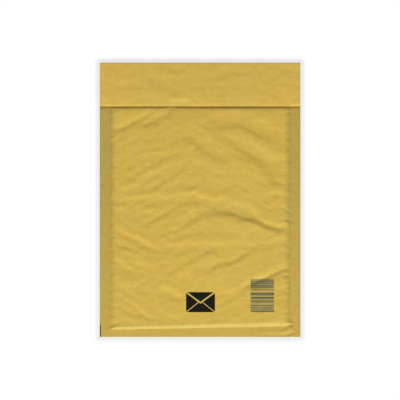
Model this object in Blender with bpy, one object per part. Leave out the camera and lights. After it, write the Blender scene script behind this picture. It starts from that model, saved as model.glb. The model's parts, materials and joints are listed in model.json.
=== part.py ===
"""A padded envelope of brown kraft paper, lying flat with its flap folded down over the mouth.

Metres, +Z up. X runs across the envelope and +Y towards the fold of the flap. The origin is under the middle
of the outline, on the surface that the envelope lies on.

The sleeve is one folded sheet of paper. It starts as the panel underneath, turns over at the bottom edge
into the top panel, and turns over at the top edge into the flap. The two panels are pressed together along
both sides and along the bottom strip. Inside that border they are held apart by the bubble film, whose two
plies leave the pocket between them. The film is thickest in the middle. The flap covers the mouth of the
pocket and carries an adhesive band under its release strip.
"""

from collections import namedtuple

import bmesh
import bpy
import numpy as np

# The outline
WIDTH = 0.200
LENGTH = 0.2735
FLAP_LENGTH = 0.0437

# The paper and its pressed border
PAPER = 0.0002
SIDE_SEAM = 0.010
BOTTOM_STRIP = 0.0087
BORDER_LIFT = 0.001

# The padding between the two panels
BUBBLE_PLY = 0.00145
EMPTY_POCKET = 0.0003
FILM_CLEARANCE = 0.0003
CREASE_LIMIT = 0.0012
SIDE_SLOPE = 0.0075
BOTTOM_SLOPE = 0.0040
POCKET = 2 * BUBBLE_PLY + EMPTY_POCKET + 2 * FILM_CLEARANCE + CREASE_LIMIT

# The padding keeps this share of its height at the tops of the slopes, and swells to all of it further in
EDGE_SHARE = 0.7
CROWN_REACH = 0.085

# The film ends part way up the slopes, and its plies are welded together along the sides and the fold
FILM_START = 0.3
FILM_WELD = 0.002
FILM_MOUTH_INSET = 0.002

# The mouth, where the padding is pressed flatter
MOUTH_INSET = 0.008
MOUTH_SHARE = 0.55
MOUTH_SLOPE = 0.050

# The flap: its fold, its droop at the sides, and the groove that its free edge presses into the panel
FOLD_DIAMETER = 0.002
FOLD_LIFT = 0.012
FLAP_DROOP = 0.0012
PRESS_DEPTH = 0.0016
PRESS_ABOVE = 0.006
PRESS_BELOW = 0.002
CREASE_FADE = 0.004

# The closure on the inner face of the flap
ADHESIVE = 0.00012
ADHESIVE_WIDTH = 0.018
ADHESIVE_INSET = 0.014
RELEASE = 0.0001
RELEASE_OVERHANG = 0.002
TAPE_GAP = 0.0001
TAPE_SIDE_INSET = 0.004
FLAP_CLEARANCE = ADHESIVE + RELEASE + 3 * TAPE_GAP

# How finely each kind of surface is divided
GROOVE_PITCH = 0.001
PANEL_PITCH = 0.0065
SLOPE_PITCH = 0.002
BORDER_PITCH = 0.010
FILM_PITCH = 0.026
FILM_MOUTH_PITCH = 0.004
FOLD_FACETS = 6
EDGE_FACETS = 2
MERGE = 0.00001
FLAT = 0.00001

# Places that several pieces share
SIDE = WIDTH / 2
SEAM_LINE = SIDE - SIDE_SEAM
SHOULDER = SEAM_LINE - SIDE_SLOPE
TOP = LENGTH / 2
BOTTOM = -LENGTH / 2
STRIP_LINE = BOTTOM + BOTTOM_STRIP
STRIP_SHOULDER = STRIP_LINE + BOTTOM_SLOPE
FLAP_EDGE = TOP - FLAP_LENGTH
FLAP_FOLD = TOP - FOLD_DIAMETER / 2
MOUTH = TOP - MOUTH_INSET
ADHESIVE_START = FLAP_EDGE + ADHESIVE_INSET
ADHESIVE_STOP = ADHESIVE_START + ADHESIVE_WIDTH
ADHESIVE_SIDE = SIDE - TAPE_SIDE_INSET
RELEASE_START = ADHESIVE_START - RELEASE_OVERHANG
RELEASE_STOP = ADHESIVE_STOP + RELEASE_OVERHANG
RELEASE_SIDE = ADHESIVE_SIDE + RELEASE_OVERHANG

# A crease takes most height on its path and fades over one distance above the path and another below it. A
# negative depth is a ridge. Paths run left to right, and each crease dies out at both ends of its path.
# Depths, distances and paths are in millimetres.
MM = 0.001
CREASE_BLUNTNESS = 0.6
Crease = namedtuple("Crease", "depth above below path")
CREASES = (
    # under the left half of the flap
    Crease(0.9, 4, 2.5, ((-92, 70), (-84, 71), (-74, 74), (-61, 81), (-46, 89))),
    Crease(0.9, 4, 3, ((-64, 73), (-54, 78), (-42, 81.5), (-32, 86.5), (-20, 93))),
    # the fan that runs down from the flap to the right side
    Crease(0.6, 9, 5, ((-30, 56), (-14, 63), (0, 56), (12, 47), (29, 39))),
    Crease(0.7, 8, 4, ((3, 74), (18, 73), (34, 79), (46, 73), (61, 65), (80, 57))),
    Crease(0.8, 7, 4, ((16, 64), (36, 57), (52, 48), (70, 42), (89, 38))),
    Crease(0.5, 6, 4, ((50, 41), (65, 31), (74, 20), (88, 18))),
    # the ridge and the hollow left of the middle
    Crease(-0.5, 5, 5, ((-82, 13), (-70, 17), (-58, 24), (-44, 33), (-28, 39))),
    Crease(0.5, 5, 4, ((-53, 10), (-42, 16), (-32, 22), (-12, 31))),
    # the hollow across the middle, deepest at the right side
    Crease(0.5, 3, 6, ((-83, -3), (-65, 0), (-48, 0), (-34, -3), (-13, 1))),
    Crease(0.8, 5, 4, ((-20, -24), (-3, -17), (12, -9), (32, -9.5))),
    Crease(1.2, 5, 4, ((12, -9), (32, -9.5), (46, -11.5), (58, -18), (72, -25), (88, -28))),
    Crease(0.5, 6, 4, ((-50, -21), (-37, -14), (-22, -4), (-10, -1))),
    # the two steps below the middle
    Crease(0.6, 4, 10, ((-87, -28), (-74, -34), (-62, -40), (-44, -50))),
    Crease(0.6, 5, 12, ((-44, -42), (-26, -50), (0, -48), (32, -47), (62, -49), (85, -40))),
    # the hollows in the lower half
    Crease(0.5, 7, 4, ((-34, -73), (-20, -65), (-8, -58), (9, -49))),
    Crease(0.8, 6, 4, ((3, -73), (16, -68), (34, -63), (44, -56), (64, -46))),
    Crease(1.1, 3.5, 2.5, ((38, -90), (50, -84), (64, -77), (72, -72), (81, -68.5), (90, -66.5))),
    Crease(0.6, 3, 6, ((-40, -87), (-31, -93), (-16, -101))),
    # the short ones above the bottom strip
    Crease(0.6, 3, 6, ((-68, -105), (-56, -112), (-44, -119))),
    Crease(0.5, 3, 6, ((-44, -108), (-32, -115), (-18, -117))),
)


def spread(start, stop, pitch):
    """Even steps from start to stop, no longer than the pitch."""
    steps = max(1, int(np.ceil(round(abs(stop - start) / pitch, 6))))
    return np.linspace(start, stop, steps + 1)


def joined(*runs):
    """Several runs of steps as one rising run."""
    return np.unique(np.round(np.concatenate(runs), 7))


def through(stops, pitch):
    """Steps no longer than the pitch that fall on every stop."""
    stops = joined(stops)
    return joined(*(spread(start, stop, pitch) for start, stop in zip(stops, stops[1:])))


def rise(share):
    """A smooth step from 0 to 1 as the share goes from 0 to 1."""
    return 0.5 - 0.5 * np.cos(np.pi * np.clip(share, 0, 1))


def climb(share):
    """From 0 to 1, steep at the foot and level at the top."""
    return 1 - (1 - np.clip(share, 0, 1)) ** 2


def both_sides(stops, pitch):
    """Columns through the stops, on both sides of the envelope."""
    right = through(stops, pitch)
    return joined(-right, right)


def fullness(x, y):
    """0 on the pressed border and 1 past its slopes. The slopes meet in a hip at each corner."""
    from_side = climb((SEAM_LINE - np.abs(x)) / SIDE_SLOPE)
    from_strip = climb((y - STRIP_LINE) / BOTTOM_SLOPE)
    return np.minimum(from_side, from_strip)


def crown(x, y):
    """The share of its full height that the padding has: least at the border, less still at the mouth."""
    from_side = rise((SEAM_LINE - np.abs(x)) / CROWN_REACH)
    from_strip = rise((y - STRIP_LINE) / CROWN_REACH)
    from_mouth = rise((MOUTH - y) / CROWN_REACH)
    swell = EDGE_SHARE + (1 - EDGE_SHARE) * from_side * from_strip * from_mouth
    return swell * (MOUTH_SHARE + (1 - MOUTH_SHARE) * rise((MOUTH - y) / MOUTH_SLOPE))


def underside(x, y):
    """The outer face of the panel underneath: flat, and lifted at the pressed border and at the fold."""
    lowered = np.minimum(fullness(x, y), rise((TOP - y) / FOLD_LIFT))
    return BORDER_LIFT * (1 - lowered)


def opening(x, y):
    """The height between the two panels, without any crease."""
    return POCKET * fullness(x, y) * crown(x, y)


def side_fade(side, above, below, distance):
    """1 on a line, fading to 0 over one distance above the line and another below it."""
    return np.exp(-((distance / np.where(side > 0, above, below)) ** 2))


def crease_relief(crease, x, y):
    """The height that one crease adds to the panel."""
    path = np.array(crease.path) * MM
    lengths = np.hypot(*np.diff(path, axis=0).T)
    nearest = np.full(x.shape, np.inf)
    side = np.zeros(x.shape)
    travelled = np.zeros(x.shape)
    passed = np.cumsum(lengths) - lengths
    for start, step, length, before in zip(path, np.diff(path, axis=0), lengths, passed):
        dx, dy = x - start[0], y - start[1]
        share = np.clip((dx * step[0] + dy * step[1]) / length**2, 0, 1)
        distance = np.hypot(dx - share * step[0], dy - share * step[1])
        closer = distance < nearest
        nearest = np.where(closer, distance, nearest)
        side = np.where(closer, step[0] * dy - step[1] * dx, side)
        travelled = np.where(closer, before + share * length, travelled)
    taper = np.maximum(np.sin(np.pi * travelled / lengths.sum()), 0) ** CREASE_BLUNTNESS
    return -crease.depth * MM * taper * side_fade(side, crease.above * MM, crease.below * MM, nearest)


def limited(relief):
    """Relief that never passes the crease limit, up or down."""
    return CREASE_LIMIT * np.tanh(relief / CREASE_LIMIT)


def groove(y):
    """The groove under the free edge of the flap. The flap bends down into it."""
    from_edge = y - FLAP_EDGE
    return -PRESS_DEPTH * side_fade(from_edge, PRESS_ABOVE, PRESS_BELOW, from_edge)


def looseness(x, y):
    """How free the panel is to crease: not at all at the pressed border and at the mouth."""
    return fullness(x, y) ** 2 * rise((MOUTH - y) / MOUTH_SLOPE)


def panel_relief(x, y):
    """The creases of the top panel, which end at the flap, and the groove at the flap's edge."""
    creases = sum(crease_relief(crease, x, y) for crease in CREASES)
    uncovered = rise((FLAP_EDGE - y) / CREASE_FADE)
    return limited(creases * uncovered + groove(y)) * looseness(x, y)


def panel(x, y):
    """The outer face of the top panel."""
    return underside(x, y) + 2 * PAPER + opening(x, y) + panel_relief(x, y)


def flap(x, y):
    """The outer face of the flap. It climbs evenly from its fold and bends down at its free edge."""
    at_fold = BORDER_LIFT + FOLD_DIAMETER
    padding = POCKET * crown(x, FLAP_EDGE)
    droop = FLAP_DROOP * (1 - rise((SIDE - np.abs(x)) / (2 * SIDE_SEAM)))
    bend = limited(groove(y)) * looseness(np.zeros_like(x), y)
    resting = padding + 3 * PAPER + FLAP_CLEARANCE - droop + bend
    return at_fold + (resting - at_fold) * (FLAP_FOLD - y) / (FLAP_FOLD - FLAP_EDGE)


def lifted(height, by):
    """The same face, moved up or down by the same amount everywhere."""
    return lambda x, y: height(x, y) + by


def grid(columns, rows, height):
    """A surface as lines of points, one line for each row."""
    x, y = np.meshgrid(columns, rows)
    return np.stack([x, y, height(x, y)], axis=-1)


def arc(columns, centre_y, centre_z, radius, facets):
    """A half turn as lines of points, from under its centre to its top. A negative radius bulges to -Y."""
    lines = []
    for turn in np.linspace(-np.pi / 2, np.pi / 2, facets + 1)[1:-1]:
        y = centre_y + radius * np.cos(turn)
        z = centre_z + abs(radius) * np.sin(turn)
        lines.append(np.stack([columns, np.full(columns.shape, y), np.full(columns.shape, z)], axis=-1))
    return np.array(lines)


def add_skin(mesh, lines):
    """Triangles between neighbouring lines. Each cell is split between its lower pair of corners, so that
    creases stay clean valleys and both faces of the sheet split alike."""
    corners = [[mesh.verts.new(point) for point in line] for line in lines]
    for near, far in zip(corners, corners[1:]):
        for a, b, c, d in zip(near, near[1:], far[1:], far):
            if a.co.z + c.co.z <= b.co.z + d.co.z:
                triangles = (a, b, c), (a, c, d)
            else:
                triangles = (a, b, d), (b, c, d)
            for triangle in triangles:
                mesh.faces.new(triangle)


def close_and_place(name, mesh, material):
    """Merges the skins along their shared borders, closes the ends at the sides, and makes the object."""
    bmesh.ops.remove_doubles(mesh, verts=mesh.verts, dist=MERGE)
    bmesh.ops.holes_fill(mesh, edges=[edge for edge in mesh.edges if edge.is_boundary])
    bmesh.ops.dissolve_limit(mesh, angle_limit=FLAT, verts=mesh.verts, edges=mesh.edges)
    bmesh.ops.recalc_face_normals(mesh, faces=mesh.faces)
    data = bpy.data.meshes.new(name)
    mesh.to_mesh(data)
    mesh.free()
    data.materials.append(material)
    piece = bpy.data.objects.new(name, data)
    bpy.context.scene.collection.objects.link(piece)
    return piece


def finish(name, colour, roughness, transmission=0.0):
    """A plain material."""
    material = bpy.data.materials.new(name)
    material.use_nodes = True
    shader = material.node_tree.nodes["Principled BSDF"]
    shader.inputs["Base Color"].default_value = (*colour, 1.0)
    shader.inputs["Roughness"].default_value = roughness
    shader.inputs["Metallic"].default_value = 0.0
    shader.inputs["Transmission Weight"].default_value = transmission
    return material


def pocket_columns():
    """Columns between the two side seams."""
    return joined(both_sides([SHOULDER, SEAM_LINE], SLOPE_PITCH), spread(-SHOULDER, SHOULDER, PANEL_PITCH))


def sheet_columns():
    """Columns over the whole width of the sheet, with the side edges of the tapes among them."""
    return joined(pocket_columns(), both_sides([SEAM_LINE, ADHESIVE_SIDE, RELEASE_SIDE, SIDE], BORDER_PITCH))


def pocket_rows():
    """Rows from the pressed strip up to the mouth, closer together on the slope and at the flap's edge."""
    groove_start = FLAP_EDGE - 2 * PRESS_BELOW
    groove_end = FLAP_EDGE + PRESS_ABOVE
    return joined(
        spread(STRIP_LINE, STRIP_SHOULDER, SLOPE_PITCH),
        spread(STRIP_SHOULDER, groove_start, PANEL_PITCH),
        spread(groove_start, FLAP_EDGE, GROOVE_PITCH),
        spread(FLAP_EDGE, groove_end, SLOPE_PITCH),
        spread(groove_end, MOUTH, PANEL_PITCH),
    )


def flap_rows():
    """Rows from the free edge of the flap to its fold, with the edges of the tapes among them."""
    groove_end = FLAP_EDGE + PRESS_ABOVE
    tapes = [RELEASE_START, ADHESIVE_START, ADHESIVE_STOP, RELEASE_STOP]
    return joined(
        spread(FLAP_EDGE, groove_end, SLOPE_PITCH),
        through([groove_end, *tapes, FLAP_FOLD], PANEL_PITCH),
    )


def kraft_sleeve():
    """The folded and sealed sheet of paper."""
    columns, inner_columns = sheet_columns(), pocket_columns()
    strip = spread(BOTTOM + PAPER, STRIP_LINE, BORDER_PITCH)
    rows = joined(strip, pocket_rows())
    above_mouth = spread(MOUTH, FLAP_FOLD, SLOPE_PITCH)
    fold_height = BORDER_LIFT + FOLD_DIAMETER / 2
    outer_fold = arc(columns, FLAP_FOLD, fold_height, FOLD_DIAMETER / 2, FOLD_FACETS)
    inner_fold = arc(columns, FLAP_FOLD, fold_height, FOLD_DIAMETER / 2 - PAPER, FOLD_FACETS)
    bottom_fold = arc(columns, BOTTOM + PAPER, BORDER_LIFT + PAPER, -PAPER, EDGE_FACETS)

    flap_outside = grid(columns, flap_rows(), flap)
    flap_inside = grid(columns, flap_rows(), lifted(flap, -PAPER))
    under_outside = grid(columns, joined(rows, above_mouth), underside)
    under_inside = grid(columns, above_mouth, lifted(underside, PAPER))
    panel_outside = grid(columns, rows, panel)

    mesh = bmesh.new()
    outside = [flap_outside, outer_fold[::-1], under_outside[::-1], bottom_fold, panel_outside]
    add_skin(mesh, np.concatenate(outside))
    add_skin(mesh, np.concatenate([flap_inside, inner_fold[::-1], under_inside[::-1]]))
    add_skin(mesh, grid(inner_columns, pocket_rows(), lifted(underside, PAPER)))
    add_skin(mesh, grid(inner_columns, pocket_rows(), lifted(panel, -PAPER)))
    add_skin(mesh, [flap_outside[0], flap_inside[0]])
    add_skin(mesh, [panel_outside[-1], grid(columns, [MOUTH], lifted(panel, -PAPER))[0]])
    return close_and_place("kraft_sleeve", mesh, finish("kraft paper", (0.62, 0.42, 0.09), 0.75))


def film_low(x, y):
    """The face of the bubble film that lies on the panel underneath."""
    return underside(x, y) + PAPER + FILM_CLEARANCE


def film_high(x, y):
    """The face of the bubble film under the top panel, clear of the deepest crease."""
    inside = underside(x, y) + PAPER + opening(x, y)
    return inside - FILM_CLEARANCE - CREASE_LIMIT * looseness(x, y)


def film_columns():
    """Columns over the film, which ends part way up the side slopes."""
    edge = SEAM_LINE - FILM_START * SIDE_SLOPE
    weld = edge - FILM_WELD
    return joined(
        both_sides([weld, edge], FILM_WELD),
        both_sides([SHOULDER, weld], SLOPE_PITCH),
        spread(-SHOULDER, SHOULDER, FILM_PITCH),
    )


def film_rows():
    """Rows over the film, from its fold near the pressed strip to its open end near the mouth."""
    fold = STRIP_LINE + FILM_START * BOTTOM_SLOPE
    weld = fold + FILM_WELD
    squeezed = MOUTH - MOUTH_SLOPE
    return joined(
        [fold],
        spread(weld, STRIP_SHOULDER, SLOPE_PITCH),
        spread(STRIP_SHOULDER, squeezed, FILM_PITCH),
        spread(squeezed, MOUTH - FILM_MOUTH_INSET, FILM_MOUTH_PITCH),
    )


def bubble_lining():
    """The bubble film, folded once, with the pocket as a slit that is open at the mouth."""
    columns, rows = film_columns(), film_rows()
    low, high = grid(columns, rows, film_low), grid(columns, rows, film_high)
    slit = np.zeros(low.shape)
    slit[2:, 2:-2, 2] = EMPTY_POCKET / 2
    slit_low = (low + high) / 2 - slit
    slit_high = (low + high) / 2 + slit

    mesh = bmesh.new()
    add_skin(mesh, low)
    add_skin(mesh, high)
    add_skin(mesh, slit_low[1:, 1:-1])
    add_skin(mesh, slit_high[1:, 1:-1])
    add_skin(mesh, [low[-1], slit_low[-1]])
    add_skin(mesh, [high[-1], slit_high[-1]])
    add_skin(mesh, [low[0], high[0]])
    return close_and_place("bubble_lining", mesh, finish("bubble film", (0.90, 0.92, 0.94), 0.25, 0.6))


def within(steps, start, stop):
    """The steps from start to stop."""
    return steps[(steps > start - MERGE) & (steps < stop + MERGE)]


def flap_tape(name, start, stop, side, depth, thickness, material):
    """A thin band that follows the inner face of the flap, at a depth below its outer face."""
    columns = within(sheet_columns(), -side, side)
    rows = within(flap_rows(), start, stop)
    upper = grid(columns, rows, lifted(flap, -depth))
    lower = grid(columns, rows, lifted(flap, -depth - thickness))

    mesh = bmesh.new()
    add_skin(mesh, upper)
    add_skin(mesh, lower)
    add_skin(mesh, [upper[0], lower[0]])
    add_skin(mesh, [upper[-1], lower[-1]])
    return close_and_place(name, mesh, material)


def closure():
    """The adhesive band and the release strip that covers it."""
    clear = finish("adhesive", (0.80, 0.76, 0.60), 0.35)
    white = finish("release paper", (0.86, 0.86, 0.84), 0.4)
    adhesive_depth = PAPER + TAPE_GAP
    release_depth = adhesive_depth + ADHESIVE + TAPE_GAP
    flap_tape("adhesive_band", ADHESIVE_START, ADHESIVE_STOP, ADHESIVE_SIDE, adhesive_depth, ADHESIVE, clear)
    flap_tape("release_strip", RELEASE_START, RELEASE_STOP, RELEASE_SIDE, release_depth, RELEASE, white)


def main():
    for thing in list(bpy.data.objects):
        bpy.data.objects.remove(thing)
    kraft_sleeve()
    bubble_lining()
    closure()


main()
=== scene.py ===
# %% [markdown]
# # A padded envelope of kraft paper
#
# The real object is one web of brown paper, lined with bubble film and sealed along both sides. It lies
# flat, with its flap folded down over the mouth. The plain solids come from the part. This lesson
# dresses them: it lays the same sheet again with its creases, gives the film its bubbles, and makes
# every finish from nodes.

# %% Load the solids
import json
import math
from collections import namedtuple

import bmesh
import bpy
import numpy as np
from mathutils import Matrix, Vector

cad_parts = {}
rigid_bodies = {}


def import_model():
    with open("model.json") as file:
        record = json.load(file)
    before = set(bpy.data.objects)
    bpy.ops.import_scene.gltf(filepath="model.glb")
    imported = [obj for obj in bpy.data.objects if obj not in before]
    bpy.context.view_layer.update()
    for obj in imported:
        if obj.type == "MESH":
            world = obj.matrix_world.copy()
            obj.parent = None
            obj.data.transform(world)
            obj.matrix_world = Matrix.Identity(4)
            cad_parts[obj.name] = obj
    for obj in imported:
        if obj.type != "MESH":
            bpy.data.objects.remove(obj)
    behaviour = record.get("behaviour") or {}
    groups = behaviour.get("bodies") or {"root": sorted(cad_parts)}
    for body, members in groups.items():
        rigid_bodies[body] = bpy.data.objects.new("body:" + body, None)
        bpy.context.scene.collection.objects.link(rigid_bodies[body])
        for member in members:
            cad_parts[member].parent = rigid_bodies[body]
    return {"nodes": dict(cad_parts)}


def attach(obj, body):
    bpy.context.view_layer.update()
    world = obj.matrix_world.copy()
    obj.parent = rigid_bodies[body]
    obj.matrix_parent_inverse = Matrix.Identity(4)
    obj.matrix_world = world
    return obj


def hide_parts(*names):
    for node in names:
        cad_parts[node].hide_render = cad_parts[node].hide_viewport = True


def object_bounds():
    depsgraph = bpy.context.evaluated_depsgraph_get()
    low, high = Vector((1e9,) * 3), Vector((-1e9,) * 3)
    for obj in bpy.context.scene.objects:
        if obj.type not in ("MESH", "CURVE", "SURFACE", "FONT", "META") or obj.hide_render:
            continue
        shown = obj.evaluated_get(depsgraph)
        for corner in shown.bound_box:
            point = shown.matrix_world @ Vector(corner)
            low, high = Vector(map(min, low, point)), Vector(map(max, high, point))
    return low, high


MM = 0.001
for thing in list(bpy.data.objects):
    bpy.data.objects.remove(thing)
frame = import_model()
cad_low, cad_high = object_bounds()


def in_mm(length, places=2):
    """A length in metres as a rounded number of millimetres."""
    return round(float(length) / MM, places)


print("solids", sorted(frame["nodes"]), "box in mm", [in_mm(side, 1) for side in cad_high - cad_low])

# %% [markdown]
# ## The camera
#
# The photograph looks straight down and shows no perspective, as a flat-bed scan does. An orthographic
# camera would give that too. A very long lens three metres up looks the same here, and still behaves
# like a real camera when it is moved round to the sides.

# %% Place the camera
FRAME_WIDTH = 0.3984
CAMERA_HEIGHT = 3.0
SENSOR = 36.0
PAPER_LEVEL = 0.0055
AIM_X = -0.00012
AIM_Y = -0.00010

scene = bpy.context.scene
scene.view_settings.view_transform = "Standard"


def put(name, data, place=(0, 0, 0)):
    """Puts a new object into the scene."""
    thing = bpy.data.objects.new(name, data)
    thing.location = place
    scene.collection.objects.link(thing)
    return thing


optics = bpy.data.cameras.new("camera")
optics.sensor_width = SENSOR
optics.lens = SENSOR * (CAMERA_HEIGHT - PAPER_LEVEL) / FRAME_WIDTH
scene.camera = put("camera", optics, (AIM_X, AIM_Y, CAMERA_HEIGHT))
print("lens", round(optics.lens, 1), "mm")

# %% [markdown]
# ## Nodes in few words
#
# The light, the card, the bubbles and every finish are node trees. Each node could be made by hand in a
# few lines, one for each input. A few small functions make a node, set or link its inputs and hand back
# its output, so that a tree can be read like the sum that it is. Others like them follow where they are
# first needed.

# %% Small functions for nodes
def fill_in(tree, node, inputs):
    """Sets or links inputs of a node. Each is a pair: a socket's name or number, and a value or another
    socket."""
    for name, value in inputs:
        if isinstance(value, bpy.types.NodeSocket):
            tree.links.new(value, node.inputs[name])
        else:
            node.inputs[name].default_value = value


def made(tree, kind, inputs=(), **settings):
    """A new node with its settings and its inputs."""
    node = tree.nodes.new(kind)
    for name, value in settings.items():
        setattr(node, name, value)
    fill_in(tree, node, inputs)
    return node


def calc(tree, operation, *values):
    """A Math node over numbers or sockets. Returns its output."""
    return made(tree, "ShaderNodeMath", enumerate(values), operation=operation).outputs[0]


def scaled(tree, value, factor, offset):
    """A value times a factor, plus an offset."""
    return calc(tree, "MULTIPLY_ADD", value, factor, offset)


def seen_directly(tree):
    """1 for a ray from the camera, also by way of a mirror or glass, and 0 for a ray that only lights."""
    path = tree.nodes.new("ShaderNodeLightPath").outputs
    seen = calc(tree, "MAXIMUM", path["Is Camera Ray"], path["Is Glossy Ray"])
    return calc(tree, "MAXIMUM", seen, path["Is Transmission Ray"])


# %% [markdown]
# ## The light
#
# Creases in paper only show where light rakes over them. The bright sides of the creases all face the
# bottom of the picture, so the key light stands there, a little over a third of the way up from the
# table. It is a wide, shallow panel: wide so that slopes to the left and right stay even, shallow so
# that creases across the sheet stay crisp. The world fills in the rest. Together they light a flat
# sheet so that a colour renders about as it is written.

# %% Hang the key light and fill the world
KEY_ELEVATION = math.radians(35)
KEY_DISTANCE = 6.0
KEY_WIDTH = 9.0
KEY_DEPTH = 1.8
KEY_POWER = 520.0
FILL = 0.4

key_panel = bpy.data.lights.new("key", "AREA")
key_panel.shape = "RECTANGLE"
key_panel.size = KEY_WIDTH
key_panel.size_y = KEY_DEPTH
key_panel.energy = KEY_POWER
key_place = (0, -KEY_DISTANCE * math.cos(KEY_ELEVATION), KEY_DISTANCE * math.sin(KEY_ELEVATION))
put("key", key_panel, key_place).rotation_euler = (math.pi / 2 - KEY_ELEVATION, 0, 0)

world = bpy.data.worlds.new("studio")
world.use_nodes = True
scene.world = world
sky = world.node_tree
sky_strength = scaled(sky, seen_directly(sky), 1 - FILL, FILL)
fill_in(sky, sky.nodes["Background"], [("Color", (1, 1, 1, 1)), ("Strength", sky_strength)])
print("key", KEY_POWER, "W, fill", FILL)

# %% [markdown]
# ## The white card
#
# The envelope lies on a white card. Next to its edge the card turns a little grey, in a soft ring as
# wide on the lit side as on the far one. A single lamp can't cast that, because its shadow falls on one
# side only. So the card's material measures how far each point is from the outline and paints the ring
# in as a shadow, and a share of plain white paint under it still catches the real shadow of the key
# light. Where the camera sees it, the card glows enough to be white.

# %% Measure how far a point is from the outline
def vector_calc(tree, operation, *values):
    """A Vector Math node over vectors or sockets. Returns its output."""
    return made(tree, "ShaderNodeVectorMath", enumerate(values), operation=operation).outputs[0]


def object_place(tree):
    """Where a point lies on its piece, in metres."""
    return tree.nodes.new("ShaderNodeTexCoord").outputs["Object"]


def ramp(tree, value, start, stop, low=0.0, high=1.0):
    """A smooth climb from low to high while the value goes from start to stop."""
    limits = [("Value", value), ("From Min", start), ("From Max", stop), ("To Min", low), ("To Max", high)]
    return made(tree, "ShaderNodeMapRange", limits, interpolation_type="SMOOTHSTEP").outputs["Result"]


def outline_distance(tree, half_width, half_length):
    """How far a point lies outside a rectangle round the origin."""
    past = vector_calc(tree, "ABSOLUTE", object_place(tree))
    past = vector_calc(tree, "SUBTRACT", past, (half_width, half_length, 0))
    past = vector_calc(tree, "MAXIMUM", past, (0, 0, 0))
    return made(tree, "ShaderNodeVectorMath", [(0, past)], operation="LENGTH").outputs["Value"]


# %% Lay the card
CARD_SIZE = 6.0
CARD_DROP = 0.00005
CARD_PAINT = 0.8
SHADOW_SHARE = 0.08
# Where the painted shadow round the outline starts and ends, and how grey it is next to the outline
PAINTED_SHADOW_START = 0.0016
PAINTED_SHADOW_END = 0.0066
PAINTED_SHADOW_TONE = 0.85


def new_material(name):
    """A material with nodes. Returns it with its tree and its shader."""
    material = bpy.data.materials.new(name)
    material.use_nodes = True
    return material, material.node_tree, material.node_tree.nodes["Principled BSDF"]


def white_card():
    """White where it is seen, with a painted shadow in a soft ring round the outline."""
    material, tree, shader = new_material("white card")
    tree.nodes.remove(shader)
    paint, catcher = (
        made(tree, "ShaderNodeBsdfDiffuse", [("Color", (grey, grey, grey, 1))]).outputs[0]
        for grey in (CARD_PAINT, SHADOW_SHARE)
    )
    distance = outline_distance(tree, cad_high.x, cad_high.y)
    # painted shadow: the glow is dimmer in a soft ring next to the outline
    painted_shadow = ramp(tree, distance, PAINTED_SHADOW_START, PAINTED_SHADOW_END, PAINTED_SHADOW_TONE - SHADOW_SHARE, 1 - SHADOW_SHARE)
    glow = made(tree, "ShaderNodeEmission", [("Strength", painted_shadow)]).outputs[0]
    both = made(tree, "ShaderNodeAddShader", [(0, catcher), (1, glow)]).outputs[0]
    choices = [("Fac", seen_directly(tree)), (1, paint), (2, both)]
    chosen = made(tree, "ShaderNodeMixShader", choices).outputs[0]
    fill_in(tree, tree.nodes["Material Output"], [("Surface", chosen)])
    return material


half = CARD_SIZE / 2
card_corners = [(x * half, y * half, -CARD_DROP) for x, y in ((-1, -1), (1, -1), (1, 1), (-1, 1))]
card_mesh = bpy.data.meshes.new("card")
card_mesh.from_pydata(card_corners, [], [(0, 1, 2, 3)])
card_mesh.materials.append(white_card())
card = put("card", card_mesh)
print("card", CARD_SIZE, "m across")

# %% [markdown]
# ## The form of the envelope
#
# Every height on the envelope follows from a few sizes. The border is pressed flat: ten millimetres
# along each side, and a strip along the bottom that is a little taller on the right. Inside it the film
# holds the two panels apart, and the paper climbs to its full height within a few millimetres. Writing
# these rules as small functions of x and y means that the paper, the film and the flap all agree, and
# that a size is changed in one place.

# %% Sizes of the outline
WIDTH = 0.200
LENGTH = 0.2735
FLAP_LENGTH = 0.0437
PAPER = 0.0002
SIDE_SEAM = 0.010
SIDE_SLOPE = 0.0075
MOUTH_INSET = 0.008

SIDE = WIDTH / 2
TOP = LENGTH / 2
BOTTOM = -LENGTH / 2
SEAM_LINE = SIDE - SIDE_SEAM
SHOULDER = SEAM_LINE - SIDE_SLOPE
FLAP_EDGE = TOP - FLAP_LENGTH
MOUTH = TOP - MOUTH_INSET
print("outline", in_mm(WIDTH, 1), "by", in_mm(LENGTH, 1), "mm, with a flap of", in_mm(FLAP_LENGTH, 1), "mm")

# %% The form of the padding
POCKET = 0.005
BOTTOM_SLOPE = 0.0040
EDGE_SHARE = 0.7
CROWN_REACH = 0.085
SLOPE_TILT = 0.36
STRIP_HEIGHT = 0.0092
STRIP_TILT = 0.0016
CORNER_LIFT = 0.0022
CORNER_START = 0.083
CORNER_LENGTH = 0.010
CORNER_BULGE = 0.0028
CORNER_REACH = 0.0028
MOUTH_SHARE = 0.55
MOUTH_SLOPE = 0.050


def rise(share):
    """A smooth step from 0 to 1 as the share goes from 0 to 1."""
    return 0.5 - 0.5 * np.cos(np.pi * np.clip(share, 0, 1))


def climb(share):
    """From 0 to 1, steep at the foot and level at the top."""
    return 1 - (1 - np.clip(share, 0, 1)) ** 2


def bell(distance, reach):
    """1 at no distance, dying out beyond the reach."""
    return np.exp(-((distance / reach) ** 2))


def strip_line(x):
    """Where the pressed bottom strip ends: a little higher on the right, and drawn up into that corner."""
    drawn_up = CORNER_LIFT * rise((x - CORNER_START) / CORNER_LENGTH)
    return BOTTOM + STRIP_HEIGHT + STRIP_TILT * x / SEAM_LINE + drawn_up


def seam_line(x, y):
    """How far from the middle the padding ends. It reaches out to a point at the lower right corner."""
    return SEAM_LINE + CORNER_BULGE * bell(y - strip_line(x), CORNER_REACH) * (x > 0)


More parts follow.
